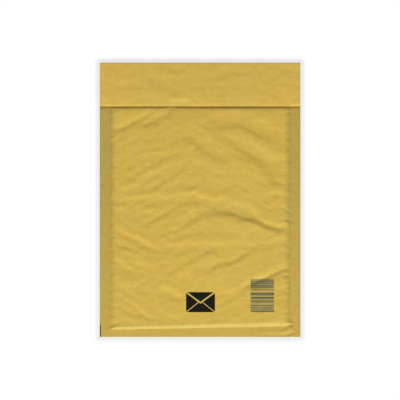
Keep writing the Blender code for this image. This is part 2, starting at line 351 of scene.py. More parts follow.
def fullness(x, y):
    """0 on the pressed border and 1 past its slopes. The slopes meet in a hip at each corner."""
    from_side = (seam_line(x, y) - np.abs(x)) / SIDE_SLOPE
    from_strip = (y - strip_line(x)) / (BOTTOM_SLOPE * (1 + SLOPE_TILT * x / SEAM_LINE))
    return np.minimum(climb(from_side), climb(from_strip))


def crown(x, y):
    """The share of its full height that the padding has: least at the border, less still at the mouth."""
    edges = (SEAM_LINE - np.abs(x), y - strip_line(x), MOUTH - y)
    from_side, from_strip, from_mouth = (rise(distance / CROWN_REACH) for distance in edges)
    swell = EDGE_SHARE + (1 - EDGE_SHARE) * from_side * from_strip * from_mouth
    return swell * (MOUTH_SHARE + (1 - MOUTH_SHARE) * rise((MOUTH - y) / MOUTH_SLOPE))


def opening(x, y):
    """The height between the two panels, without any crease."""
    return POCKET * fullness(x, y) * crown(x, y)


def looseness(x, y):
    """How free the top panel is to crease: not at all on the pressed border and at the mouth."""
    return fullness(x, y) * rise((MOUTH - y) / MOUTH_SLOPE)


print("padding from", in_mm(POCKET * EDGE_SHARE), "to", in_mm(POCKET), "mm")

# %% [markdown]
# ## Creases
#
# The paper is stiff and the film under it is soft, so handling leaves long creases that fan out from
# the middle: they arch over the upper half and sag through the lower half. Cloth simulation would
# crumple the sheet in places of its own choosing. Drawing each crease puts it where the real one is.
#
# Two kinds of mark are enough. A fold is a sharp valley, with its own reach above and below its line. A
# step is a place where the sheet changes its level: a positive one rises towards the bottom of the page
# and turns away from the light, and a negative one falls and turns towards it. Each mark is one row:
# its sizes first, then the points of its path, all in millimetres from the middle of the envelope.

# %% Sharp folds
Fold = namedtuple("Fold", "depth above below path")
Step = namedtuple("Step", "height width path")


def folds(*rows):
    """Folds from rows of depth, reach above, reach below and the points of the path."""
    return [Fold(depth, above, below, path) for depth, above, below, *path in rows]


def steps(*rows):
    """Steps from rows of height, width and the points of the path."""
    return [Step(height, width, path) for height, width, *path in rows]


FOLDS = folds(
    # two folds that run up under the left half of the flap
    (1.15, 3.8, 2.3, (-93, 69.4), (-84, 70), (-76, 72), (-69, 76), (-61, 80.5), (-55, 84), (-46, 89)),
    (1.05, 3.9, 2.8, (-58, 74), (-50, 77.3), (-42, 81.7), (-34, 86.3), (-26, 91.5), (-22, 93.5)),
    # the fold at the right side, over the block of bars
    (1.50, 3.6, 1.8, (38, -89), (50, -83.8), (58, -80.3), (65, -77.7), (74.5, -73), (83, -69.3), (92, -67)),
)
print(len(FOLDS), "sharp folds")

# %% Steps in the upper half
UPPER_STEPS = steps(
    # beside the two folds
    (0.22, 1.8, (-65, 72.2), (-58, 72.8), (-52, 74.5), (-46, 78)),
    (0.15, 1.5, (-28, 77), (-24, 76), (-20, 75)),
    (0.12, 1.5, (-62, 59), (-50, 59), (-40, 61), (-32, 59)),
    (0.12, 1.5, (-50, 54), (-44, 57), (-35, 60)),
    # the first ray of the fan
    (0.22, 2.4, (-30, 54), (-20, 58.5), (-14, 60), (-9, 60), (-4, 56)),
    (0.58, 3.5, (-16, 60), (-9, 58.5), (-4, 54), (8, 46), (14, 42.5), (20, 40), (30, 37.5)),
    (-0.34, 4.0, (-2, 62), (8, 57), (16, 51), (26, 45)),
    # the second ray, under the flap
    (0.28, 3.6, (1, 76), (10, 74.7), (18, 73), (25, 74)),
    (0.70, 3.9, (12, 71.8), (25, 71.8), (35, 73), (43, 71.2), (52, 67), (60, 62.7), (70, 57.8), (79, 55.8)),
    (0.24, 3.0, (40, 73), (50, 68.5), (60, 62.7), (70, 57.8)),
    (0.12, 1.6, (8, 78), (16, 78), (22, 80)),
    (0.12, 1.6, (-4, 81), (2, 83), (8, 83.5)),
    (-0.40, 3.6, (52, 78), (62, 77.5), (70, 75), (77, 71), (84, 67)),
    (-0.30, 3.0, (13, 87), (22, 86.5), (32, 87), (45, 87), (56, 86)),
    # the third ray, down to the right side
    (-0.34, 4.6, (20, 67), (29, 64.5), (38, 61), (47, 56.5), (56, 52)),
    (-0.58, 3.8, (48, 57), (58, 52), (66, 47), (72, 43.5), (80, 40.5), (90, 38.5)),
    (0.60, 5.8, (12, 63), (22, 59.4), (32, 55), (44, 48.8), (54, 43.2), (63, 38), (71, 34)),
    (0.24, 2.6, (32, 46), (40, 42), (47, 38.5), (54, 36)),
    (0.14, 1.6, (53, 34), (57, 33), (62, 31)),
    (0.18, 1.4, (68, 34), (74, 35), (80, 36.5), (89, 38)),
    (0.62, 3.8, (48, 43), (56, 37.5), (63, 31), (69, 25), (74, 19), (79, 15.5)),
    (0.36, 1.8, (66, 18), (71, 16), (76, 15), (84, 16)),
    (-0.08, 1.8, (72, 21), (78, 19.5), (86, 18)),
    (-0.28, 2.2, (58, 1), (66, 3.5), (72, 7), (80, 7.5), (87, 6)),
    # the long strokes left of the middle
    (-0.20, 1.3, (-63, 43), (-55, 45), (-50, 46.5), (-42, 47), (-33, 46)),
    (0.28, 2.0, (-74, 29), (-67, 32), (-62, 36), (-57, 38.5), (-50, 41.5)),
    (0.34, 2.0, (-81, 17), (-72, 19), (-67, 22), (-60, 26.5), (-53, 30.5), (-42, 36.5), (-34, 40)),
    (0.20, 2.2, (-40, 38), (-34, 41), (-28, 43), (-20, 44)),
    (-0.34, 2.0, (-83, 10), (-75, 11.5), (-70, 14), (-63, 17), (-58, 22), (-53, 25), (-40, 30), (-30, 33)),
    (0.20, 1.4, (-60, 14), (-54, 17), (-48, 20), (-44, 22), (-36, 22)),
    (-0.16, 1.4, (-58, 11), (-52, 13), (-47, 16), (-41, 19)),
    (0.34, 1.9, (-53, 8), (-48, 10), (-42, 13.5), (-37, 17), (-32, 19), (-26, 23), (-20, 26), (-12, 29)),
    (0.14, 1.4, (-11, 23), (-6, 25), (-1, 25)),
    (-0.12, 1.6, (-11, 17), (-4, 18), (2, 18)),
    (0.16, 1.4, (-13, 10.5), (-6, 12), (0, 12.5)),
    # between the fan and the arc
    (0.20, 1.6, (18, 6), (25, 9), (31, 12), (39, 13)),
    (0.22, 1.6, (38, 6), (44, 7.5), (51, 8)),
    (0.14, 1.6, (48, 2), (55, 1.5), (60, 0)),
    (0.12, 1.6, (60, -2), (66, -3), (72, -3.5)),
)
print(len(UPPER_STEPS), "steps in the upper half")

# %% Steps across the middle
MIDDLE_STEPS = steps(
    # the arc over the long crease
    (-0.36, 2.0, (-84, 0), (-72, 1.5), (-65, 3), (-55, 2), (-48, 4), (-44, 6), (-34, 2), (-20, 5.5),
        (-13, 4)),
    (-0.56, 2.2, (-20, 4), (-8, 6.5), (-2, 5), (4, 2.5), (10, 1.0), (15, -2), (18, -6)),
    (-0.34, 1.8, (12, -3), (20, 1), (28, 3)),
    (0.18, 1.4, (-82, -5.5), (-76, -4.5), (-70, -5)),
    (0.21, 2.4, (-64, -4), (-56, -4.5), (-49, -5), (-43, -7), (-38, -5.5), (-32, -2.5), (-22, 1)),
    (-0.14, 1.8, (-84, -11), (-77, -10), (-70, -10)),
    (-0.16, 1.8, (-62, -9.5), (-54, -10), (-48, -12), (-43, -14), (-36, -11), (-28, -6)),
    (0.56, 2.2, (-52, -24), (-43, -20), (-37, -16), (-32, -13), (-27, -10), (-22, -6), (-10, -3)),
    (0.26, 2.2, (-18, -4), (-8, -3), (0, -3), (6, -4)),
    (0.14, 1.4, (-59, -15), (-54, -15.5), (-49, -16)),
    (0.16, 1.4, (-70, -20), (-64, -21), (-58, -22)),
    (0.12, 1.4, (-77, -25), (-74, -26), (-71, -27)),
    (0.24, 1.6, (-59, -26), (-54, -26.5), (-48, -25.5)),
    (0.26, 1.8, (-39, -28), (-32, -24), (-27, -21), (-21, -18)),
    (0.22, 1.8, (-36, -21), (-28, -17), (-20, -13.5), (-10, -10.5)),
    (0.16, 1.8, (-32, -34), (-25, -31), (-18, -28), (-10, -26)),
    (-0.16, 1.8, (-27, -22), (-20, -20), (-12, -18.5), (-6, -15)),
    # the long crease, deepest at the right side
    (0.46, 2.2, (-20, -27), (-13, -25), (-8, -22), (-3, -19.5), (3, -15), (8, -11.5)),
    (1.20, 5.2, (0, -17.5), (8, -15), (15, -13.5), (25, -14.2), (35, -15.6), (45, -17.6), (58, -21.5)),
    (0.32, 2.4, (12, -13), (19, -15.2), (26, -15.8), (33, -16.4), (40, -17.6), (47, -19.6)),
    (0.95, 2.2, (38, -20.5), (46, -19.6), (53, -20.8), (60, -24), (66, -27), (72, -29), (78, -30.5),
        (86, -30.5)),
    (-0.34, 2.4, (20, -8), (26, -6.5), (32, -3.5), (38, -5), (44, -6.5), (50, -9)),
    (-0.34, 2.2, (46, -9), (52, -12), (58, -16), (64, -19)),
    (-0.48, 1.5, (60, -18.5), (66, -21.5), (72, -23.7), (78, -25.3), (84, -26), (89, -26)),
    (0.18, 1.5, (59, -13.5), (67, -12), (75, -10), (82, -8)),
    # the long steps under it
    (-0.50, 1.9, (-86, -26), (-80, -29.5), (-74, -32), (-68, -35), (-62, -38), (-56, -41), (-46, -47),
        (-40, -49)),
    (-0.40, 2.6, (-44, -38), (-33, -43), (-26, -46), (-20, -45.5), (0, -43.5), (20, -43.5), (32, -43),
        (46, -43)),
    (-0.24, 2.4, (44, -46), (54, -45.5), (62, -46), (68, -42), (74, -40), (85, -36)),
    (0.16, 1.8, (-32, -43), (-25, -41), (-20, -39), (-12, -36), (-4, -33), (4, -31)),
    (0.16, 1.6, (2, -37), (9, -34), (17, -31.5)),
)
print(len(MIDDLE_STEPS), "steps across the middle")

# %% Steps in the lower half
LOWER_STEPS = steps(
    # the strokes that fall to the right, at the left side
    (0.14, 1.5, (-80, -35), (-72, -39), (-66, -42), (-60, -42.5)),
    (-0.14, 1.5, (-84, -45), (-76, -42.5), (-69, -43.5)),
    (0.34, 1.7, (-83, -46.5), (-76, -48), (-70, -50), (-66, -51.5), (-60, -53.5)),
    (0.30, 1.9, (-62, -49), (-54, -47), (-50, -49.5), (-44, -52), (-38, -54.5)),
    (-0.20, 2.0, (-80, -54), (-73, -53), (-68, -56), (-62, -60)),
    (-0.52, 2.9, (-66, -58), (-58, -62.5), (-51, -65.5), (-42, -66)),
    (0.12, 2.0, (-54, -60), (-48, -60), (-42, -58), (-35, -55), (-26, -51)),
    (-0.50, 2.7, (-89, -56.5), (-83, -59.8), (-78, -62.5), (-73, -65.5), (-66, -69.5)),
    (0.18, 1.8, (-78, -71), (-70, -73), (-66, -76), (-62, -78), (-58, -76), (-53, -73), (-48, -70)),
    (-0.34, 2.5, (-84, -84), (-75, -86.5), (-66, -86), (-58, -84)),
    # the strokes that rise to the right, through the middle
    (0.36, 2.0, (-34, -76), (-28, -74), (-20, -68.5), (-14, -65), (-8, -61), (-2, -58), (9, -52),
        (16, -50)),
    (0.18, 1.8, (-24, -58), (-16, -54.5), (-8, -51), (-1, -48), (8, -46)),
    (0.14, 1.4, (-34, -66), (-29, -63.5), (-24, -61)),
    (0.18, 2.4, (6, -53), (14, -53.5), (22, -57), (30, -58)),
    (-0.30, 1.7, (24, -62), (35, -56.5), (40, -53.5), (45, -52), (52, -50)),
    (0.62, 2.6, (3, -74.5), (10, -71.5), (18, -67.5), (26, -65), (34, -63), (41, -58.5), (48, -53)),
    (0.50, 2.3, (38, -61), (44, -56.5), (50, -51.5), (56, -47.5), (63, -45)),
    (0.14, 1.6, (38, -50), (46, -47.5), (52, -44.5)),
    (0.14, 1.6, (28, -75), (36, -73), (43, -70)),
    (0.12, 1.6, (34, -84), (40, -81), (46, -78)),
    (0.26, 2.0, (-62, -88), (-56, -84.5), (-50, -81), (-44, -78)),
    (0.28, 2.0, (-55, -93), (-49, -90), (-44, -86), (-38, -82)),
    (0.16, 1.6, (-62, -95), (-56, -94.5), (-50, -93)),
    (0.14, 1.5, (-48, -94), (-43, -96), (-38, -97)),
    # round the print
    (-0.60, 2.3, (-38, -84.5), (-33, -88), (-28, -91), (-23, -94.3), (-17, -97.5)),
    (0.12, 1.9, (-40, -101), (-34, -97.5), (-28, -98), (-22, -101), (-15, -103)),
    (-0.40, 3.8, (14, -93), (24, -90.5), (34, -91), (44, -86)),
    (-0.34, 2.2, (38, -89), (44, -84.5), (50, -80.5), (60, -77), (70, -71)),
    (0.20, 1.8, (14, -109), (22, -105.5), (28, -102), (36, -98.5)),
    (0.12, 1.6, (27, -111), (33, -109), (39, -106)),
    (-0.24, 1.4, (81, -71.5), (86, -73), (90, -74)),
    (0.20, 1.2, (82, -77), (86, -77), (90, -77)),
    (-0.34, 1.8, (76, -88.5), (81, -87.5), (88, -86.5)),
    (-0.24, 1.6, (77, -99.5), (82, -97), (88, -96)),
    (-0.20, 1.4, (66, -119), (69, -116), (73, -112)),
    # over the bottom strip
    (0.26, 1.6, (-82, -106), (-75, -112), (-71, -115), (-65, -117)),
    (-0.32, 1.9, (-68, -103), (-60, -108), (-56, -111), (-51, -114), (-44, -118)),
    (-0.32, 2.6, (-44, -106), (-37, -111), (-32, -114), (-26, -116), (-18, -115.5)),
    (0.22, 1.5, (-65, -119), (-59, -116.5), (-53, -116.5)),
    (0.26, 1.5, (-56, -119), (-49, -120.5), (-42, -121)),
    (-0.14, 1.4, (-79, -114), (-75, -118), (-72, -121)),
)
print(len(LOWER_STEPS), "steps in the lower half")
STEPS = UPPER_STEPS + MIDDLE_STEPS + LOWER_STEPS

# %% Steps in the pressed border
BORDER_STEPS = steps(
    # at the lower left corner
    (0.14, 1.0, (-97.5, -128.2), (-93, -128.4), (-89.5, -127.8)),
    (0.34, 1.0, (-92, -128), (-87, -126.2), (-81.5, -124.2)),
    # two pleats that end in points at the lower right corner
    (0.16, 0.9, (84.5, -121.8), (89, -122.4), (93.5, -124.2)),
    (0.36, 1.0, (78, -132), (83.5, -129.9), (88.3, -127.2), (94, -123.8)),
    (0.42, 0.8, (88.5, -124.6), (92, -127), (95, -129.6), (98.5, -132)),
    (-0.34, 1.3, (56, -133.2), (72, -133.2), (85, -132.4), (97.5, -131.2)),
    (0.42, 0.8, (84.5, -137.4), (88.5, -135.6), (92.5, -133.6), (98, -131.6)),
    # across the side seams
    (0.30, 1.0, (83, -20.5), (87, -21.3), (92, -25)),
    (0.16, 1.0, (84, 38.5), (90, 37.5), (93, 37)),
    (0.14, 1.0, (84, 16.5), (89, 15.5), (93, 15)),
    (0.16, 1.0, (-92, -82), (-87, -82.5), (-82, -84)),
)
print(len(BORDER_STEPS), "steps in the border")

# %% A rounded path, and how far a point is from it
PATH_PARTS = 4


def smooth_path(points):
    """A rounded line through the points, in metres."""
    points = np.array(points, float) * MM
    ends = np.vstack([2 * points[0] - points[1], points, 2 * points[-1] - points[-2]])
    share = np.linspace(0, 1, PATH_PARTS, endpoint=False)[:, None]
    runs = []
    for before, here, there, after in zip(ends, ends[1:], ends[2:], ends[3:]):
        bend = 2 * before - 5 * here + 4 * there - after
        twist = 3 * here - before - 3 * there + after
        runs.append(here + 0.5 * share * (there - before + share * (bend + share * twist)))
    return np.vstack([*runs, points[-1:]])


def along_path(path, x, y):
    """For each point: its distance from the path, the side it is on, and how strong a mark is there, since
    marks die out at both ends."""
    steps = np.diff(path, axis=0)
    lengths = np.hypot(*steps.T)
    nearest = np.full(x.shape, np.inf)
    side = np.zeros(x.shape)
    travelled = np.zeros(x.shape)
    for start, step, length, before in zip(path, steps, lengths, np.cumsum(lengths) - lengths):
        dx, dy = x - start[0], y - start[1]
        share = np.clip((dx * step[0] + dy * step[1]) / length**2, 0, 1)
        distance = np.hypot(dx - share * step[0], dy - share * step[1])
        closer = distance < nearest
        nearest = np.where(closer, distance, nearest)
        side = np.where(closer, np.sign(step[0] * dy - step[1] * dx), side)
        travelled = np.where(closer, before + share * length, travelled)
    strength = np.sqrt(np.maximum(np.sin(np.pi * travelled / lengths.sum()), 0))
    return nearest, side, strength


run = smooth_path(FOLDS[0].path)
print("the first fold is", in_mm(np.hypot(*np.diff(run, axis=0).T).sum(), 1), "mm long")

# %% How a mark shapes the sheet
FOLD_ROUNDING = 0.0007
FOLD_SHAPE = 1.15
FOLD_SPAN = 4
STEP_FADE = 3.2
STEP_SPAN = 8


def fold_relief(fold, path, x, y):
    """The height that a fold adds to the sheet."""
    nearest, side, strength = along_path(path, x, y)
    reach = np.where(side > 0, fold.above, fold.below) * MM
    off_line = np.hypot(nearest, FOLD_ROUNDING) - FOLD_ROUNDING
    return -fold.depth * MM * strength * np.exp(-((off_line / reach) ** FOLD_SHAPE))


def step_relief(step, path, x, y):
    """The height that a step adds to the sheet. Away from its line the sheet eases back to its level."""
    nearest, side, strength = along_path(path, x, y)
    widths = side * nearest / (step.width * MM)
    return -step.height * MM * strength * np.tanh(widths) * bell(widths, STEP_FADE)


def marked(x, y, marks, relief=step_relief, span=STEP_SPAN):
    """The heights of several marks together. Each is worked out only near its path."""
    total = np.zeros(x.shape)
    for mark in marks:
        path = smooth_path(mark.path)
        margin = span * max(mark[1:-1]) * MM
        low, high = path.min(axis=0) - margin, path.max(axis=0) + margin
        near = (x > low[0]) & (x < high[0]) & (y > low[1]) & (y < high[1])
        total[near] += relief(mark, path, x[near], y[near])
    return total


middle = np.zeros(1)
print("in the middle the steps move the sheet by", in_mm(marked(middle, middle, STEPS)[0]), "mm")

# %% [markdown]
# ## Ripples
#
# Between the creases the paper is never quite flat: the bubbles and the glue leave low ripples that lie
# in the same fan. A seeded noise gives them, stretched into strokes. Strokes that rise to the right
# fill the upper left and the lower right, and strokes that fall to the right fill the other two
# quarters. They are calmer near the flap, which presses the sheet flat. The same noise pushes the
# creases a little to and fro, so that none of them looks drawn with a ruler.

# %% Soft seeded noise
LATTICE = 64
SEEDS = {
    "rising strokes": 3,
    "falling strokes": 4,
    "crinkle": 5,
    "sway in x": 8,
    "sway in y": 9,
    "puckers": 13,
    "flap waves": 17,
    "flap crinkle": 18,
    "back waves": 21,
}


def eased(share):
    """From 0 to 1 with no kink at either end."""
    return share**3 * (share * (6 * share - 15) + 10)


def wander(u, v, name):
    """Soft seeded hills about one apart, between -1 and 1."""
    hills = np.random.default_rng(SEEDS[name]).uniform(-1, 1, (LATTICE, LATTICE))
    column, row = np.floor(u).astype(int), np.floor(v).astype(int)
    across, up = eased(u - column), eased(v - row)

    def between_columns(row):
        """The hills along one row."""
        left, right = (hills[row % LATTICE, place % LATTICE] for place in (column, column + 1))
        return left * (1 - across) + right * across

    return between_columns(row) * (1 - up) + between_columns(row + 1) * up


print(len(SEEDS), "noises, each on", LATTICE, "by", LATTICE, "hills")

# %% Ripples between the creases
STROKE_ANGLE = math.radians(28)
STROKE_LENGTH = 0.016
STROKE_PITCH = 0.0040
STROKE_HEIGHT = 0.00019
CRINKLE_PITCH = 0.0026
CRINKLE_HEIGHT = 0.00007
SWAY = 0.0005
SWAY_PITCH = 0.008
CALM_SHARE = 0.5
CALM_START = 0.052
CALM_LENGTH = 0.015
UPPER_TURN = -0.005
UPPER_BLEND = 0.030
TURN_SHIFT = 0.030
SHIFT_START = 0.045
SHIFT_LENGTH = 0.020
LOWER_TURN = -0.055
LOWER_BLEND = 0.025
HALVES_MEET = -0.040
HALVES_BLEND = 0.025


def strokes(x, y, angle, name):
    """Noise stretched along one direction."""
    along = x * math.cos(angle) + y * math.sin(angle)
    aside = y * math.cos(angle) - x * math.sin(angle)
    return wander(along / STROKE_LENGTH, aside / STROKE_PITCH, name)


def rising_share(x, y):
    """How far the strokes at a point rise to the right, from 0 to 1."""
    turn = UPPER_TURN - TURN_SHIFT * rise((y - SHIFT_START) / SHIFT_LENGTH)
    upper = 1 - rise((x - turn) / UPPER_BLEND)
    lower = rise((x - LOWER_TURN) / LOWER_BLEND)
    return lower + (upper - lower) * rise((y - HALVES_MEET) / HALVES_BLEND)


def ripples(x, y):
    """The low ripples of the top panel, calmer near the flap."""
    share = rising_share(x, y)
    rising = strokes(x, y, STROKE_ANGLE, "rising strokes")
    falling = strokes(x, y, -STROKE_ANGLE, "falling strokes")
    calmer = 1 - CALM_SHARE * rise((y - CALM_START) / CALM_LENGTH)
    crinkle = CRINKLE_HEIGHT * wander(x / CRINKLE_PITCH, y / CRINKLE_PITCH, "crinkle")
    return STROKE_HEIGHT * calmer * (share * rising + (1 - share) * falling) + crinkle


def swayed(x, y):
    """The point moved a little, so that a straight path wanders."""
    return [
        place + SWAY * wander(x / SWAY_PITCH, y / SWAY_PITCH, name)
        for place, name in ((x, "sway in x"), (y, "sway in y"))
    ]


print("strokes", in_mm(STROKE_HEIGHT), "mm high")

# %% [markdown]
# ## The panel and the flap
#
# The free edge of the flap presses a groove into the panel under it, and the panel bulges in front.
# From above that groove is the dark line under the flap: its near side faces away from the light. The
# flap itself leaves its fold low, climbs over the padding, and turns down at its lip. Where the film
# ends under the side slopes, the paper gathers into short puckers.

# %% The groove, and the panel underneath
BORDER_LIFT = 0.001
BORDER_PRESS = 0.0009
PRESS_ABOVE = 0.005
PRESS_BELOW = 0.0017
PRESS_SHIFT = 0.0004
PRESS_SHAPE = 1.4
FOLD_LIFT = 0.012
BACK_RIPPLE = 0.0001
BACK_WAVE_WIDTH = 0.02
BACK_WAVE_SLANT = 0.05
BACK_WAVE_PITCH = 0.012
SAMPLES = 60
SAMPLE_BOTTOM = -0.11
SAMPLE_TOP = 0.085


def groove(y):
    """The groove that the flap's edge presses, deepest just under the edge."""
    from_bottom = y - FLAP_EDGE - PRESS_SHIFT
    in_front = np.exp(-((np.maximum(-from_bottom, 0) / PRESS_BELOW) ** PRESS_SHAPE))
    return bell(np.maximum(from_bottom, 0), PRESS_ABOVE) * in_front


def border_relief(x, y):
    """What bends the pressed border: its own steps, and the edge of the flap."""
    return marked(x, y, BORDER_STEPS) - BORDER_PRESS * groove(y)


def underside(x, y):
    """The outer face of the panel underneath: flat, and lifted at the pressed border and at the fold."""
    full = fullness(x, y)
    lowered = np.minimum(full, rise((TOP - y) / FOLD_LIFT))
    waves = wander(x / BACK_WAVE_WIDTH + y / BACK_WAVE_SLANT, y / BACK_WAVE_PITCH, "back waves")
    ripple = BACK_RIPPLE * (1 + waves) * full**2
    return BORDER_LIFT * (1 - lowered) + ripple + border_relief(x, y) * (1 - full)


def samples(low, high):
    """A grid of places between two heights on the page."""
    return np.meshgrid(np.linspace(-SHOULDER, SHOULDER, SAMPLES), np.linspace(low, high, SAMPLES))


lift_found = underside(*samples(SAMPLE_BOTTOM, SAMPLE_TOP))
print("the panel underneath stands up to", in_mm(lift_found.max()), "mm over the table")

# %% Heights of the panel
CREASE_LIMIT = 0.0017
CREASE_FADE = 0.0025
PRESS_DEPTH = 0.00232
PUCKER_HEIGHT = 0.00026
PUCKER_PITCH = 0.0028
PUCKER_LENGTH = 0.01
PUCKER_SHIFT = 3
PUCKER_REACH = 0.0045
PUCKER_INSET = 0.6
PUCKER_CLIMB = 4


def limited(relief):
    """Relief that never passes the crease limit, up or down."""
    return CREASE_LIMIT * np.tanh(relief / CREASE_LIMIT)


def puckers(x, y):
    """Short gathers across the side slopes."""
    from_seam = SEAM_LINE - PUCKER_INSET * PUCKER_REACH - np.abs(x)
    gathers = wander(y / PUCKER_PITCH, x / PUCKER_LENGTH + PUCKER_SHIFT, "puckers")
    return PUCKER_HEIGHT * gathers * bell(from_seam, PUCKER_REACH)


def panel_relief(x, y):
    """Creases, ripples and the groove of the top panel."""
    bent_x, bent_y = swayed(x, y)
    folds = marked(bent_x, bent_y, FOLDS, fold_relief, FOLD_SPAN)
    steps = marked(bent_x, bent_y, STEPS)
    uncovered = rise((FLAP_EDGE - y) / CREASE_FADE)
    free = (folds + limited(steps + ripples(x, y))) * uncovered - PRESS_DEPTH * groove(y)
    gathered = puckers(x, y) * uncovered * np.clip(PUCKER_CLIMB * fullness(x, y), 0, 1)
    return free * looseness(x, y) + gathered


def panel(x, y):
    """The outer face of the top panel."""
    corners = marked(x, y, BORDER_STEPS) * fullness(x, y)
    return underside(x, y) + 2 * PAPER + opening(x, y) + panel_relief(x, y) + corners


relief_found = panel_relief(*samples(SAMPLE_BOTTOM, SAMPLE_TOP))
print("relief of the panel from", in_mm(relief_found.min()), "to", in_mm(relief_found.max()), "mm")


# %% Heights of the flap
FOLD_DIAMETER = 0.002
FLAP_DROOP = 0.0004
FLAP_CLEARANCE = 0.00052
FLAP_PRESS = 0.0006
FLAP_PRESS_REACH = 0.0085
LIP_DROP = 0.00037
LIP_REACH = 0.0020
DENT_FADE = 0.006
FLAP_RIPPLE = 0.00013
FLAP_WAVE_WIDTH = 0.02
FLAP_WAVE_PITCH = 0.006
FLAP_CRINKLE = 0.8
FLAP_CRINKLE_WIDTH = 0.0055
FLAP_CRINKLE_PITCH = 0.0042
FLAP_FOLD = TOP - FOLD_DIAMETER / 2

FLAP_DENTS = steps(
    # the left half
    (0.28, 2.7, (-59, 131), (-53, 122), (-45, 114.6), (-35, 107)),
    (0.26, 1.9, (-35, 134.5), (-27, 128.6), (-19, 128), (-11, 134.5)),
    (-0.16, 2.6, (-46, 124), (-36, 123), (-26, 120.5)),
    (-0.13, 2.8, (-88, 115.5), (-76, 118.5), (-58, 119)),
    (0.14, 2.2, (-94, 123.5), (-86, 125), (-78, 125.6)),
    (0.14, 2.0, (-98, 132.6), (-92, 131), (-84, 130.6)),
    (0.14, 1.8, (-66, 135), (-58, 133.5), (-50, 134)),
    (-0.50, 2.3, (-31, 96.8), (-23, 98.8), (-17, 99.2), (-11, 98.6)),
    (0.14, 0.9, (-26, 102.8), (-12, 102.2), (8, 103.6)),
    # the right half
    (-0.26, 2.2, (10, 122), (17, 128.6), (24, 132), (32, 134)),
    (0.15, 2.0, (12, 119), (20, 121), (30, 124.4), (42, 124.8), (54, 125.4)),
    (0.14, 2.4, (8, 117), (14, 111.5), (22, 108)),
    (0.14, 1.7, (40, 124.6), (47, 125), (54, 126)),
    (0.24, 2.6, (66, 134.5), (74, 130.5), (84, 127.8), (98, 126.6)),
    (-0.15, 3.2, (34, 113), (48, 115.6), (58, 115), (68, 111.6)),
    (-0.15, 2.6, (66, 108.6), (80, 105), (97, 102.6)),
    # the line that the press leaves beside the free edge
    (0.05, 0.5, (-99, 96.6), (-60, 96.5), (-21, 96.8)),
)


def flap(x, y):
    """The outer face of the flap. It climbs evenly from its fold and bends down at its free edge."""
    at_fold = BORDER_LIFT + FOLD_DIAMETER
    padding = POCKET * crown(x, FLAP_EDGE)
    droop = FLAP_DROOP * (1 - rise((SIDE - np.abs(x)) / (2 * SIDE_SEAM)))
    bend = LIP_DROP * bell(y - FLAP_EDGE, LIP_REACH) + FLAP_PRESS * bell(y - FLAP_EDGE, FLAP_PRESS_REACH)
    resting = padding + 3 * PAPER + FLAP_CLEARANCE - droop - bend
    waves = wander((x + y) / FLAP_WAVE_WIDTH, y / FLAP_WAVE_PITCH, "flap waves")
    crinkle = wander(x / FLAP_CRINKLE_WIDTH, y / FLAP_CRINKLE_PITCH, "flap crinkle")
    dents = marked(x, y, FLAP_DENTS) + FLAP_RIPPLE * (waves + FLAP_CRINKLE * crinkle)
    climbed = (resting - at_fold) * (FLAP_FOLD - y) / (FLAP_FOLD - FLAP_EDGE)
    return at_fold + climbed + dents * rise((FLAP_FOLD - y) / DENT_FADE)


under_flap = samples(FLAP_EDGE, MOUTH)
room = flap(*under_flap) - PAPER - panel(*under_flap)
print("room under the flap from", in_mm(room.min()), "to", in_mm(room.max()), "mm")

# %% [markdown]
# ## The sheet of paper
#
# The sheet is laid as lines of points, one line for each row across the envelope: down the flap, round
# the top fold, along the back, round the bottom edge and up the front. The same lines, moved in by the
# thickness of the paper, make the inner faces. A Solidify modifier could thicken a single skin, but it
# would fail in the pressed border, where the two panels touch. Rows and columns stand closer together
# where the paper bends most. The back is flatter, so it keeps only some of the rows of the front, and
# the seams are zipped row by row so that the pocket closes.

# %% Rows and columns
COLUMN_STEP = 0.0019
ROW_STEP = 0.00095
FLAP_STEP = 0.0014
SLOPE_STEP = 0.0007
FOOT_STEP = 0.0005
GROOVE_STEP = 0.0004
GROOVE_SPAN = 2.4
GROOVE_END = FLAP_EDGE + 0.001
LIP_END = FLAP_EDGE + 0.004
BORDER_STEP = 0.0014
FOLD_STEP = 0.0026
BACK_SHARE = 5
FOOT_SHARE = 2
HIDDEN_STEP = 0.0035


def spread(start, stop, pitch):
    """Even steps from start to stop, no longer than the pitch."""
    steps = max(1, int(np.ceil(round(abs(stop - start) / pitch, 6))))
    return np.linspace(start, stop, steps + 1)


def joined(*runs):
    """Several runs of steps as one rising run, rounded to a tenth of a thousandth of a millimetre."""
    return np.unique(np.round(np.concatenate(runs), 7))


def both_sides(right):
    """The same columns on both sides."""
    return joined(-right, right)


slope_columns = both_sides(spread(SHOULDER, SEAM_LINE, SLOPE_STEP))
pocket_columns = joined(slope_columns, spread(-SHOULDER, SHOULDER, COLUMN_STEP))
sheet_columns = joined(pocket_columns, both_sides(spread(SEAM_LINE, SIDE, BORDER_STEP)))
slope_start = strip_line(-SEAM_LINE)
slope_stop = strip_line(SEAM_LINE) + BOTTOM_SLOPE
groove_start = FLAP_EDGE - GROOVE_SPAN * PRESS_BELOW
strip_rows = joined([BOTTOM + PAPER], spread(BOTTOM + 2 * PAPER, slope_start, ROW_STEP))
front_rows = joined(
    spread(slope_start, slope_stop, FOOT_STEP),
    spread(slope_stop, groove_start, ROW_STEP),
    spread(groove_start, GROOVE_END, GROOVE_STEP),
    spread(GROOVE_END, MOUTH, HIDDEN_STEP),
)
flap_rows = joined(spread(FLAP_EDGE, LIP_END, GROOVE_STEP), spread(LIP_END, FLAP_FOLD, FLAP_STEP))
body = (front_rows > slope_stop) & (front_rows < groove_start)
back_rows = joined(front_rows[body][::BACK_SHARE], front_rows[~body][::FOOT_SHARE], [slope_start, MOUTH])
fold_rows = spread(MOUTH, FLAP_FOLD, FOLD_STEP)
print(len(sheet_columns), "columns,", len(front_rows), "rows up the front,", len(flap_rows), "on the flap")

